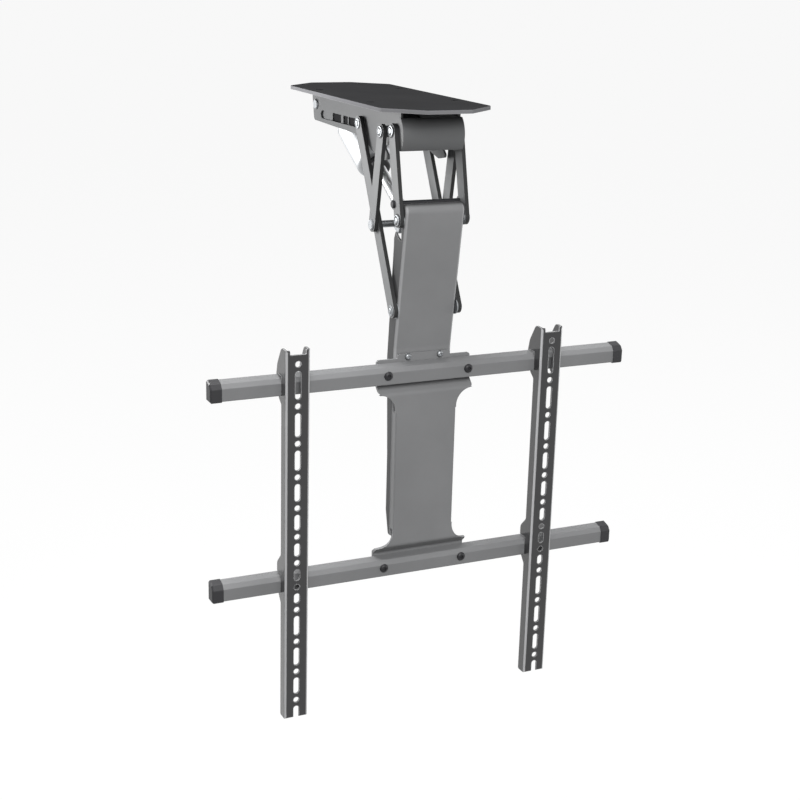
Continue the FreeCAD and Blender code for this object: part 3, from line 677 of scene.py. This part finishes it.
class GeometryTree(Tree):
    """A Geometry Nodes tree with named inputs, whose result becomes a plain mesh."""

    def __init__(self, name: str) -> None:
        """Start an empty tree that takes a geometry and gives one back.

        Args:
            name: The tree's name.
        """
        super().__init__(bpy.data.node_groups.new(name, "GeometryNodeTree"))
        for way in ("INPUT", "OUTPUT"):
            self.tree.interface.new_socket("Geometry", in_out=way,
                                           socket_type="NodeSocketGeometry")
        self.start = self.add("NodeGroupInput")
        self.end = self.add("NodeGroupOutput")
        self.values: dict[str, object] = {}

    def value(self, name: str, value: object, kind: str = "NodeSocketFloat") -> Socket:
        """Add a named input.

        Args:
            name: Its name.
            value: Its value when the tree is run.
            kind: Its socket type.

        Returns:
            Its socket inside the tree.
        """
        self.tree.interface.new_socket(name, in_out="INPUT", socket_type=kind)
        self.values[name] = value
        return self.start.outputs[name]

    def finish(self, geometry: Socket, finish: Finish) -> None:
        """End the tree with Realize Instances and Set Material.

        Args:
            geometry: The geometry that the tree gives back.
            finish: Its finish.
        """
        real = self.add("GeometryNodeRealizeInstances")
        dress = self.add("GeometryNodeSetMaterial")
        dress.inputs["Material"].default_value = finish.material()
        self.link(geometry, real.inputs["Geometry"])
        self.link(real.outputs["Geometry"], dress.inputs["Geometry"])
        self.link(dress.outputs["Geometry"], self.end.inputs["Geometry"])

    def bake(self, base: bpy.types.Object, name: str) -> bpy.types.Object:
        """Run the tree on a base object and keep the result as a plain mesh.

        Args:
            base: The object that the tree starts from, removed afterwards.
            name: The new object's name.

        Returns:
            The evaluated object, without modifiers.
        """
        modifier = base.modifiers.new(name, "NODES")
        modifier.node_group = self.tree
        for item in self.tree.interface.items_tree:
            if item.item_type == "SOCKET" and item.in_out == "INPUT" and item.name in self.values:
                modifier[item.identifier] = self.values[item.name]
        base.update_tag()
        graph = bpy.context.evaluated_depsgraph_get()
        graph.update()
        mesh = bpy.data.meshes.new_from_object(base.evaluated_get(graph), depsgraph=graph)
        mesh.name = name
        base.modifiers.remove(modifier)
        made = in_scene(name, mesh)
        bpy.data.objects.remove(base, do_unlink=True)
        return made


def marks(points: list[Mark], name: str) -> bpy.types.Object:
    """Loose points that each carry the direction in which a fastener faces.

    Args:
        points: Places and directions, in metres.
        name: The object's name.

    Returns:
        An object with one vertex for each point and its direction as an attribute.
    """
    mesh = bpy.data.meshes.new(name)
    mesh.from_pydata([tuple(place) for place, _ in points], [], [])
    facing = mesh.attributes.new("facing", "FLOAT_VECTOR", "POINT")
    for index, (_, direction) in enumerate(points):
        facing.data[index].vector = direction
    return in_scene(name, mesh)


def set_out(template: bpy.types.Object, points: list[Mark], finish: Finish,
            name: str) -> bpy.types.Object:
    """Copy a template, turned to face each point's direction, with Geometry Nodes.

    Args:
        template: The piece to repeat, on +Z, removed afterwards.
        points: Places and directions, in metres.
        finish: The finish of the copies.
        name: The result's name.

    Returns:
        One object with every copy.
    """
    tree = GeometryTree(name + "_layout")
    piece = tree.value("Piece", template, "NodeSocketObject")
    size = tree.value("Size", 1.0)
    info = tree.add("GeometryNodeObjectInfo")
    facing = tree.add("GeometryNodeInputNamedAttribute", data_type="FLOAT_VECTOR")
    facing.inputs["Name"].default_value = "facing"
    turn = tree.add("FunctionNodeAlignRotationToVector", axis="Z")
    copies = tree.add("GeometryNodeInstanceOnPoints")
    tree.link(piece, info.inputs["Object"])
    tree.link(facing.outputs["Attribute"], turn.inputs["Vector"])
    tree.link(tree.start.outputs["Geometry"], copies.inputs["Points"])
    tree.link(info.outputs["Geometry"], copies.inputs["Instance"])
    tree.link(turn.outputs["Rotation"], copies.inputs["Rotation"])
    tree.link(size, copies.inputs["Scale"])
    tree.finish(copies.outputs["Instances"], finish)
    made = tree.bake(marks(points, name + "_marks"), name)
    bpy.data.objects.remove(template, do_unlink=True)
    return made


def pair(node: str, start: float) -> list[Mark]:
    """Two mirrored marks on the sides of the mount, facing outwards.

    Args:
        node: The CAD node whose middle gives Y and Z of the axis.
        start: Distance of the marks from the middle plane in millimetres.

    Returns:
        Marks on the right and on the left, in metres.
    """
    place = centre_of(node)
    return [(Vector((side * start * MM, place.y, place.z)), Vector((side, 0, 0)))
            for side in (1, -1)]


# Sub-assemblies


@dataclass(frozen=True)
class Stud:
    """One pivot of the linkage, with a stud on both sides, measured from the middle plane.

    Attributes:
        name: The new piece's name.
        node: The CAD node that it replaces.
        body: The CAD body that it rides on.
        inner: Where each stud begins.
        outer: Where its outside head begins.
        collar: Start and end of its spacer, or None.
        knob: Radius of the head at its inner end, or None.
        shank: Radius of its shank.
    """

    name: str
    node: str
    body: str
    inner: float
    outer: float
    collar: Optional[Span] = None
    knob: Optional[float] = None
    shank: float = 4.0


@dataclass
class PivotStuds:
    """Riveted pivots: a shank, a spacer and a stepped outside head on both sides.

    In head_rim and core_rim, heights count from where the head begins, and radii count from
    head and from core.
    """

    turning: tuple[Stud, ...] = (
        Stud("swing_pivots", "swing_pivot_pins", "ceiling_unit", inner=31.5, outer=42.4,
             collar=(36.0, 37.3), knob=6.2),
        Stud("crank_pivots", "crank_pivot_pins", "ceiling_unit", inner=31.5, outer=47.5,
             collar=(36.0, 42.4), knob=6.2),
        Stud("arm_pivots", "arm_pivot_pins", "lift_arm_unit", inner=31.5, outer=42.4,
             collar=(36.0, 37.3), knob=5.2))
    sliding: tuple[Stud, ...] = (
        Stud("guide_studs", "guide_pins", "lift_rods", inner=33.8, outer=42.1,
             collar=(36.3, 37.6), shank=2.0),
        Stud("rod_studs", "rod_arm_pins", "lift_rods", inner=37.6, outer=42.1))
    head: float = 6.2
    head_rim: tuple[Span, ...] = ((0.0, -0.2), (0.25, 0.0), (0.9, 0.0), (1.3, -0.35))
    step: float = 1.4
    groove: float = 4.9
    groove_depth: float = 0.55
    taper: float = 0.2
    core: float = 3.5
    core_rim: tuple[Span, ...] = ((1.5, -0.1), (2.0, -0.5), (2.2, -1.1))
    dimple: float = 1.0
    dimple_depth: float = 0.4
    knob_height: float = 2.0
    knob_bevel: float = 0.4
    end_bevel: float = 0.3
    collar: float = 6.4
    washer: float = 7.5
    washer_thick: float = 0.25
    # Lift, gap and thickness of the black rings of painted shade in the head grooves.
    shade_ring_lift: float = 0.02
    shade_ring_gap: float = 0.05
    shade_ring_thick: float = 0.12

    def head_rows(self, start: float) -> list[Row]:
        """Rows of a stepped rivet head with a groove round its core.

        Args:
            start: Where the head begins along the axis.

        Returns:
            The rows, from the link outwards.
        """
        floor = start + self.step - self.groove_depth
        top = start + self.core_rim[-1][0]
        bottom = top - self.dimple_depth
        return [
            *outline(self.head_rim, start, self.head),
            Row(start + self.step, self.groove + self.taper),
            Row(floor, self.groove), Row(floor, self.core),
            *outline(self.core_rim, start, self.core),
            Row(top, self.dimple), Row(bottom, self.dimple - self.taper), Row(bottom, AXIS),
        ]

    def make(self, stud: Stud) -> None:
        """Build one pair of studs and let it stand for its CAD node.

        Args:
            stud: The pair.
        """
        inner = stud.inner
        if stud.knob is None:
            rows = outline(((0.0, AXIS), (0.0, stud.shank - self.end_bevel),
                            (self.end_bevel, stud.shank)), inner)
        else:
            rows = outline(((0.0, AXIS), (0.0, stud.knob - self.knob_bevel),
                            (self.knob_bevel, stud.knob), (self.knob_height, stud.knob),
                            (self.knob_height, stud.shank)), inner)
        if stud.collar is not None:
            begin, end = stud.collar
            rows += outline(((begin, stud.shank), (begin, self.collar), (end, self.collar),
                             (end, stud.shank)))
        rows += [Row(stud.outer, stud.shank)] + self.head_rows(stud.outer)
        template = turned([Row(r.along - inner, r.radius) for r in rows], stud.name + "_template")
        made = set_out(template, pair(stud.node, inner), ZINC, stud.name)
        place_piece(made, ZINC, stud.body, (stud.node,))

    def ring(self, stud: Stud, kind: str, start: float, radii: Span, thick: float) -> None:
        """Set a thin black ring round each stud of a pair.

        Args:
            stud: The pair.
            kind: What the ring is called.
            start: Where it begins, from the middle plane.
            radii: Its inside and outside radius.
            thick: Its thickness.
        """
        name = stud.name.replace("pivots", kind)
        inner, outer = radii
        rows = outline(((0.0, inner), (0.0, outer), (thick, outer), (thick, inner), (0.0, inner)))
        template = turned(rows, name + "_template", RING_FACETS)
        made = set_out(template, pair(stud.node, start), BLACK_STEEL, name)
        place_piece(made, BLACK_STEEL, stud.body)

    def build(self) -> None:
        """Make every pair of studs, with washers and, as painted shade, black rings in the head
        grooves where links turn.
        """
        for stud in self.turning:
            self.make(stud)
        for stud in self.turning:
            self.ring(stud, "washers", stud.outer - self.washer_thick, (stud.shank, self.washer),
                      self.washer_thick)
            # Black rings in the head grooves, as painted shade.
            self.ring(stud, "head_rings",
                      stud.outer + self.step + self.shade_ring_lift - self.groove_depth,
                      (self.core, self.groove - self.shade_ring_gap), self.shade_ring_thick)
        for stud in self.sliding:
            self.make(stud)


@dataclass
class Screws:
    """Button screws with a six-sided socket and a chamfered nut.

    In nut_rim and nut_seat, places count from the nut's end and from its seat, each with a crown.
    In head_rim, radii count from head. In dome, both are parts, of height and of head.
    """

    shank: float = 3.0
    tail: float = 1.0
    tail_bevel: float = 0.5
    nut: float = 5.0
    nut_height: float = 5.0
    nut_bevel: float = 0.35
    nut_rim: tuple[Span, ...] = ((0.45, 1.08), (0.8, WHOLE))
    nut_seat: tuple[Span, ...] = ((-0.3, WHOLE), (0.0, 1.09))
    head: float = 5.2
    head_rim: tuple[Span, ...] = ((0.0, -0.3), (0.25, 0.0), (0.8, 0.0))
    height: float = 3.0
    dome: tuple[Span, ...] = ((0.62, 0.88), (0.88, 0.66), (1.0, 0.48))
    socket: float = 1.9
    socket_rim: float = 0.35
    socket_bevel: float = 0.25
    socket_depth: float = 1.8
    socket_cone: float = 0.4

    def rows(self, grip: float) -> list[Row]:
        """Rows of a screw from the shank's end, through the nut, up to the socket's floor.

        Args:
            grip: Thickness held between head and nut.

        Returns:
            The rows of a screw that faces +Z, with its head's seat at zero.
        """
        top = self.height
        end = -grip - self.nut_height
        floor = top - self.socket_depth
        return [
            Row(end - self.tail, AXIS), Row(end - self.tail, self.shank - self.tail_bevel),
            Row(end - self.tail_bevel, self.shank), Row(end, self.shank),
            Row(end, self.nut - self.nut_bevel),
            *(Row(end + far, self.nut, Section.HEX, crown) for far, crown in self.nut_rim),
            *(Row(far - grip, self.nut, Section.HEX, crown) for far, crown in self.nut_seat),
            Row(-grip, self.shank), Row(0.0, self.shank),
            *outline(self.head_rim, 0.0, self.head),
            *(Row(top * high, self.head * wide) for high, wide in self.dome),
            Row(top, self.socket + self.socket_rim),
            Row(top - self.socket_bevel, self.socket, Section.HEX, WHOLE),
            Row(floor, self.socket, Section.HEX, WHOLE), Row(floor - self.socket_cone, AXIS),
        ]

    def make(self, name: str, node: str, finish: Finish, grip: float, xs: Span,
             zs: tuple[float, ...]) -> None:
        """Set out a node's screws on a grid, all facing the viewer.

        Args:
            name: The new piece's name.
            node: The CAD node that it replaces, whose front is that of the heads.
            finish: The finish of the screws.
            grip: Thickness held between head and nut.
            xs: X of the columns.
            zs: Z of the rows.
        """
        seat = low_high(node)[0].y / MM + self.height
        template = turned(self.rows(grip), name + "_template")
        points = [(Vector((x, seat, z)) * MM, Vector((0, -1, 0))) for z in zs for x in xs]
        place_piece(set_out(template, points, finish, name), finish, "lift_arm_unit", (node,))


@dataclass
class Drive:
    """Spindle drive: bright motor case with a round nose, black collar and threaded spindle.

    The pivot is in metres, and near and length count from it along the drive. Radii in case_rear
    count from case_radius, those in cap_step and cap_nose from cap_radius and those in tip from
    the spindle's core. Places in cap_step are parts of cap, those in cap_nose count from the
    collar's end and those in tip from the end of the thread.
    """

    pivot: Vector = field(default_factory=lambda: Vector((0.0, 125.0, -22.0)) * MM)
    near: float = 28.0
    gearbox: float = 15.0
    length: float = 104.5
    case_radius: float = 23.5
    case_rear: tuple[Span, ...] = ((0.0, -1.2), (0.4, -0.4), (1.2, 0.0), (5.0, 0.0), (5.5, -0.6),
                                   (6.5, -0.6), (7.0, 0.0))
    case_facets: int = 60
    nose: float = 6.0
    nose_steps: int = 6
    cap_radius: float = 13.0
    cap: float = 11.5
    cap_step: tuple[Span, ...] = ((0.45, 0.0), (0.5, -0.7), (0.6, -0.7), (0.65, 0.0))
    cap_nose: tuple[Span, ...] = ((-1.5, 0.0), (-0.4, -0.7), (0.0, -1.6))
    cap_facets: int = 48
    spindle_radius: float = 7.0
    spindle_room: float = 2.0
    spindle_facets: int = 24
    tip: tuple[Span, ...] = ((0.0, 0.0), (0.0, -0.3), (1.6, -1.0))
    thread_pitch: float = 2.0
    thread_depth: float = 0.3
    thread_steps: int = 18
    ridge_facets: int = 6

    def seated(self, thing: bpy.types.Object, start: float) -> bpy.types.Object:
        """Put a piece that was made on +Z on the line from the rear pivot to the nut.

        Args:
            thing: The piece.
            start: Distance of its origin from the pivot in millimetres.

        Returns:
            The same piece, with its place in its mesh.
        """
        line = centre_of("spindle_nut") - self.pivot
        line.x = 0.0
        line.normalize()
        thing.data.transform(Matrix.Translation(self.pivot + line * start * MM) @ aim(line))
        return thing

    def case(self) -> None:
        """Motor case with a rolled groove near its rear end and a rounded nose."""
        length = self.length - self.gearbox - self.cap
        rows = [Row(0.0, AXIS)] + outline(self.case_rear, 0.0, self.case_radius)
        for index in range(self.nose_steps + 1):
            turn = math.radians(90 / self.nose_steps * index)
            rows.append(Row(length - self.nose + self.nose * math.sin(turn),
                            self.case_radius - self.nose + self.nose * math.cos(turn)))
        rows.append(Row(length, AXIS))
        case = self.seated(turned(rows, "motor_case", self.case_facets), self.near + self.gearbox)
        place_piece(case, MOTOR_METAL, "drive", ("drive_motor",))

    def front_cap(self) -> None:
        """Stepped black collar round the spindle."""
        hole = self.spindle_radius
        rows = [Row(0.0, hole), Row(0.0, self.cap_radius),
                *(Row(self.cap * far, self.cap_radius + wide) for far, wide in self.cap_step),
                *outline(self.cap_nose, self.cap, self.cap_radius),
                Row(self.cap, hole), Row(0.0, hole)]
        cap = self.seated(turned(rows, "bearing_cap", self.cap_facets),
                          self.near + self.length - self.cap)
        place_piece(cap, MOULDED, "drive", ("drive_front_cap",))

    def thread(self, length: float) -> GeometryTree:
        """Tree that adds a helical ridge to the spindle's core.

        Args:
            length: Length of the thread in millimetres.

        Returns:
            The tree.
        """
        tree = GeometryTree("spindle_thread")
        radius = tree.value("Radius", (self.spindle_radius - self.thread_depth) * MM)
        depth = tree.value("Depth", self.thread_depth * MM)
        reach = tree.value("Length", length * MM)
        turns = tree.value("Turns", length / self.thread_pitch)
        helix = tree.add("GeometryNodeCurveSpiral")
        helix.inputs["Resolution"].default_value = self.thread_steps
        tree.link(turns, helix.inputs["Rotations"])
        tree.link(radius, helix.inputs["Start Radius"])
        tree.link(radius, helix.inputs["End Radius"])
        tree.link(reach, helix.inputs["Height"])
        ridge = tree.add("GeometryNodeCurvePrimitiveCircle", mode="RADIUS")
        ridge.inputs["Resolution"].default_value = self.ridge_facets
        tree.link(depth, ridge.inputs["Radius"])
        sweep = tree.add("GeometryNodeCurveToMesh")
        sweep.inputs["Fill Caps"].default_value = True
        tree.link(helix.outputs["Curve"], sweep.inputs["Curve"])
        tree.link(ridge.outputs["Curve"], sweep.inputs["Profile Curve"])
        join = tree.add("GeometryNodeJoinGeometry")
        tree.link(sweep.outputs["Mesh"], join.inputs["Geometry"])
        tree.link(tree.start.outputs["Geometry"], join.inputs["Geometry"])
        tree.finish(join.outputs["Geometry"], SPINDLE_STEEL)
        return tree

    def spindle(self) -> None:
        """Threaded spindle from the collar to the nut."""
        low = low_high("drive_spindle")[0]
        end = (Vector((self.pivot.x, low.y, low.z)) - self.pivot).length / MM
        start = self.near + self.length - self.cap
        length = end - start - self.spindle_room
        core = self.spindle_radius - self.thread_depth
        rows = [Row(0.0, AXIS), Row(0.0, core), *outline(self.tip, length, core),
                Row(length + self.tip[-1][0], AXIS)]
        rod = turned(rows, "spindle_core", self.spindle_facets)
        made = self.seated(self.thread(length).bake(rod, "threaded_spindle"), start)
        place_piece(made, SPINDLE_STEEL, "drive", ("drive_spindle",))

    def build(self) -> None:
        """Make the drive and paint what stays of it."""
        self.case()
        self.front_cap()
        self.spindle()
        paint({"drive_gearbox": GEAR_METAL, "spindle_nut": ZINC})


@dataclass
class CeilingUnit:
    """Plate, housing and cover that stay on the ceiling."""

    coats: dict[str, Finish] = field(default_factory=lambda: {
        "ceiling_plate": PLATE_COAT, "housing": COVER_COAT, "front_cover": COVER_COAT,
        "slot_liner_left": SLOT_PLASTIC, "slot_liner_right": SLOT_PLASTIC,
        "slot_bars": BAR_PLASTIC, "rear_drive_pins": ZINC})

    def build(self) -> None:
        """Paint the nodes that stay."""
        paint(self.coats)


@dataclass
class Linkage:
    """Flat links, cranks and lift rods with the bar between the front links."""

    coats: dict[str, Finish] = field(default_factory=lambda: {
        "swing_link_left": LINK_COAT, "swing_link_right": LINK_COAT,
        "swing_cross_bar": BLACK_STEEL, "cross_bar_bolts": BLACK_STEEL,
        "crank_link_left": LINK_COAT, "crank_link_right": LINK_COAT,
        "crank_shaft_left": ZINC, "crank_shaft_right": ZINC,
        "lift_rod_left": LINK_COAT, "lift_rod_right": LINK_COAT})

    def build(self) -> None:
        """Paint the links and make their pivots."""
        paint(self.coats)
        PivotStuds().build()


@dataclass
class ScreenFrame:
    """Lift arm, frame plate, rails and brackets."""

    coats: dict[str, Finish] = field(default_factory=lambda: {
        "lift_arm": ARM_COAT, "arm_bosses": ZINC, "frame_plate": GREY_COAT,
        "upper_rail": RAIL_COAT, "lower_rail": RAIL_COAT,
        "upper_cap_left": MOULDED, "upper_cap_right": MOULDED,
        "lower_cap_left": MOULDED, "lower_cap_right": MOULDED,
        "left_bracket": BLACK_COAT, "right_bracket": BLACK_COAT})
    rail_depth: float = 14.0
    rail_gap: float = 0.2
    sheet: float = 2.8
    web: float = 2.5
    screw_x: float = 50.0
    tab_bolt_x: float = 20.0
    tab_bolt_head: float = 3.9

    def build(self) -> None:
        """Paint the frame and set out its screws."""
        paint(self.coats)
        half_pitch = (centre_of("upper_rail").z - centre_of("lower_rail").z) / 2
        middle = centre_of("rail_screws").z
        Screws().make("rail_button_screws", "rail_screws", BLACK_STEEL,
                      self.rail_depth + self.rail_gap + self.sheet, (-self.screw_x, self.screw_x),
                      ((middle - half_pitch) / MM, (middle + half_pitch) / MM))
        Screws(head=self.tab_bolt_head).make(
            "arm_button_bolts", "arm_bolts", ZINC, self.sheet + self.web,
            (-self.tab_bolt_x, self.tab_bolt_x), (centre_of("arm_bolts").z / MM,))


# Stage

WHITE = (1.0, 1.0, 1.0, 1.0)
MIDDLE: Place = (0.0, -0.1, -0.3)


@dataclass(frozen=True)
class Lamp:
    """One soft square lamp, unseen by the camera.

    Attributes:
        name: Its name.
        place: Where it stands.
        target: What it faces.
        side: Its side in metres.
        power: Its power in watts.
    """

    name: str
    place: Place
    target: Place
    side: float
    power: float

    def build(self) -> None:
        """Add the lamp."""
        data = bpy.data.lights.new(self.name, "AREA")
        data.size = self.side
        data.energy = self.power
        lamp = in_scene(self.name, data)
        lamp.visible_camera = False
        place = Vector(self.place)
        lamp.matrix_world = Matrix.Translation(place) @ aim(place - Vector(self.target))


@dataclass
class Studio:
    """White room, soft lamps and the camera at the photograph's angle.

    Angles are in degrees, sensor and focal length in millimetres and the rest in metres.
    """

    eye: Place = (-0.7214, -1.6061, 0.1589)
    yaw: float = 25.04
    pitch: float = 16.64
    roll: float = 1.53
    focal: float = 67.5
    sensor: float = 36.0
    clip_end: float = 50.0
    floor_size: float = 200.0
    floor_z: float = -0.86
    floor_tone: float = 0.15
    floor_pale: float = 0.8
    floor_glow: float = 0.93
    world_light: float = 0.14
    lamps: tuple[Lamp, ...] = (
        Lamp("key_lamp", (-0.72, -2.5, 1.2), MIDDLE, side=1.5, power=90.0),
        Lamp("top_lamp", (-0.4, 0.1, 2.1), MIDDLE, side=1.2, power=76.0),
        Lamp("side_lamp", (-0.55, 0.38, -0.02), (0.0, 0.08, -0.04), side=0.3, power=7.0),
        Lamp("fill_lamp", (2.4, -0.8, -0.2), MIDDLE, side=1.8, power=26.0))

    def camera(self) -> None:
        """Place the camera."""
        yaw, pitch, roll = (math.radians(v) for v in (self.yaw, self.pitch, self.roll))
        ahead = Vector((math.sin(yaw) * math.cos(pitch), math.cos(yaw) * math.cos(pitch),
                        -math.sin(pitch)))
        level = Vector((math.cos(yaw), -math.sin(yaw), 0.0))
        above = level.cross(ahead)
        right = level * math.cos(roll) + above * math.sin(roll)
        up = above * math.cos(roll) - level * math.sin(roll)
        turn = Matrix((right, up, -ahead)).transposed().to_4x4()
        data = bpy.data.cameras.new("photo_camera")
        data.sensor_width = self.sensor
        data.lens = self.focal
        data.clip_end = self.clip_end
        camera = in_scene("photo_camera", data)
        camera.matrix_world = Matrix.Translation(Vector(self.eye)) @ turn
        bpy.context.scene.camera = camera

    def world(self) -> None:
        """Even surroundings that light the mount softly and look plain white."""
        world = bpy.data.worlds.new("studio_world")
        bpy.context.scene.world = world
        world.use_nodes = True
        tree = ShaderTree(world.node_tree)
        soft = tree.nodes["Background"]
        plain = tree.add("ShaderNodeBackground")
        for background, strength in ((soft, self.world_light), (plain, 1.0)):
            background.inputs["Color"].default_value = WHITE
            background.inputs["Strength"].default_value = strength
        sky = tree.mix_shaders(tree.seen_directly(), soft.outputs["Background"],
                               plain.outputs["Background"])
        tree.link(sky, tree.nodes["World Output"].inputs["Surface"])

    def floor(self) -> None:
        """Wide floor under the mount, pale where it is seen and dull in the light it returns."""
        bpy.ops.mesh.primitive_plane_add(size=self.floor_size, location=(0, 0, self.floor_z))
        floor = bpy.context.object
        floor.name = "studio_floor"
        material = bpy.data.materials.new("studio_white")
        material.use_nodes = True
        tree = ShaderTree(material.node_tree)
        dull = tree.nodes["Principled BSDF"]
        dull.inputs["Base Color"].default_value = (*(self.floor_tone,) * 3, 1.0)
        dull.inputs["Roughness"].default_value = 1.0
        dull.inputs["Specular IOR Level"].default_value = 0.0
        pale = tree.add("ShaderNodeBsdfDiffuse")
        pale.inputs["Color"].default_value = (*(self.floor_pale,) * 3, 1.0)
        glow = tree.add("ShaderNodeEmission")
        lit = tree.mix_shaders(self.floor_glow, pale.outputs["BSDF"], glow.outputs["Emission"])
        whole = tree.mix_shaders(tree.seen_directly(), dull.outputs["BSDF"], lit)
        tree.link(whole, tree.nodes["Material Output"].inputs["Surface"])
        floor.data.materials.append(material)

    def build(self) -> None:
        """Set up the whole stage."""
        self.camera()
        self.world()
        self.floor()
        for lamp in self.lamps:
            lamp.build()
        bpy.context.scene.view_settings.view_transform = "Standard"


def main() -> None:
    """Build the looks in order."""
    logging.basicConfig(level=logging.INFO, format="%(name)s: %(message)s")
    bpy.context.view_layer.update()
    Studio().build()
    CeilingUnit().build()
    Linkage().build()
    ScreenFrame().build()
    Drive().build()


if __name__ == "__main__":
    main()
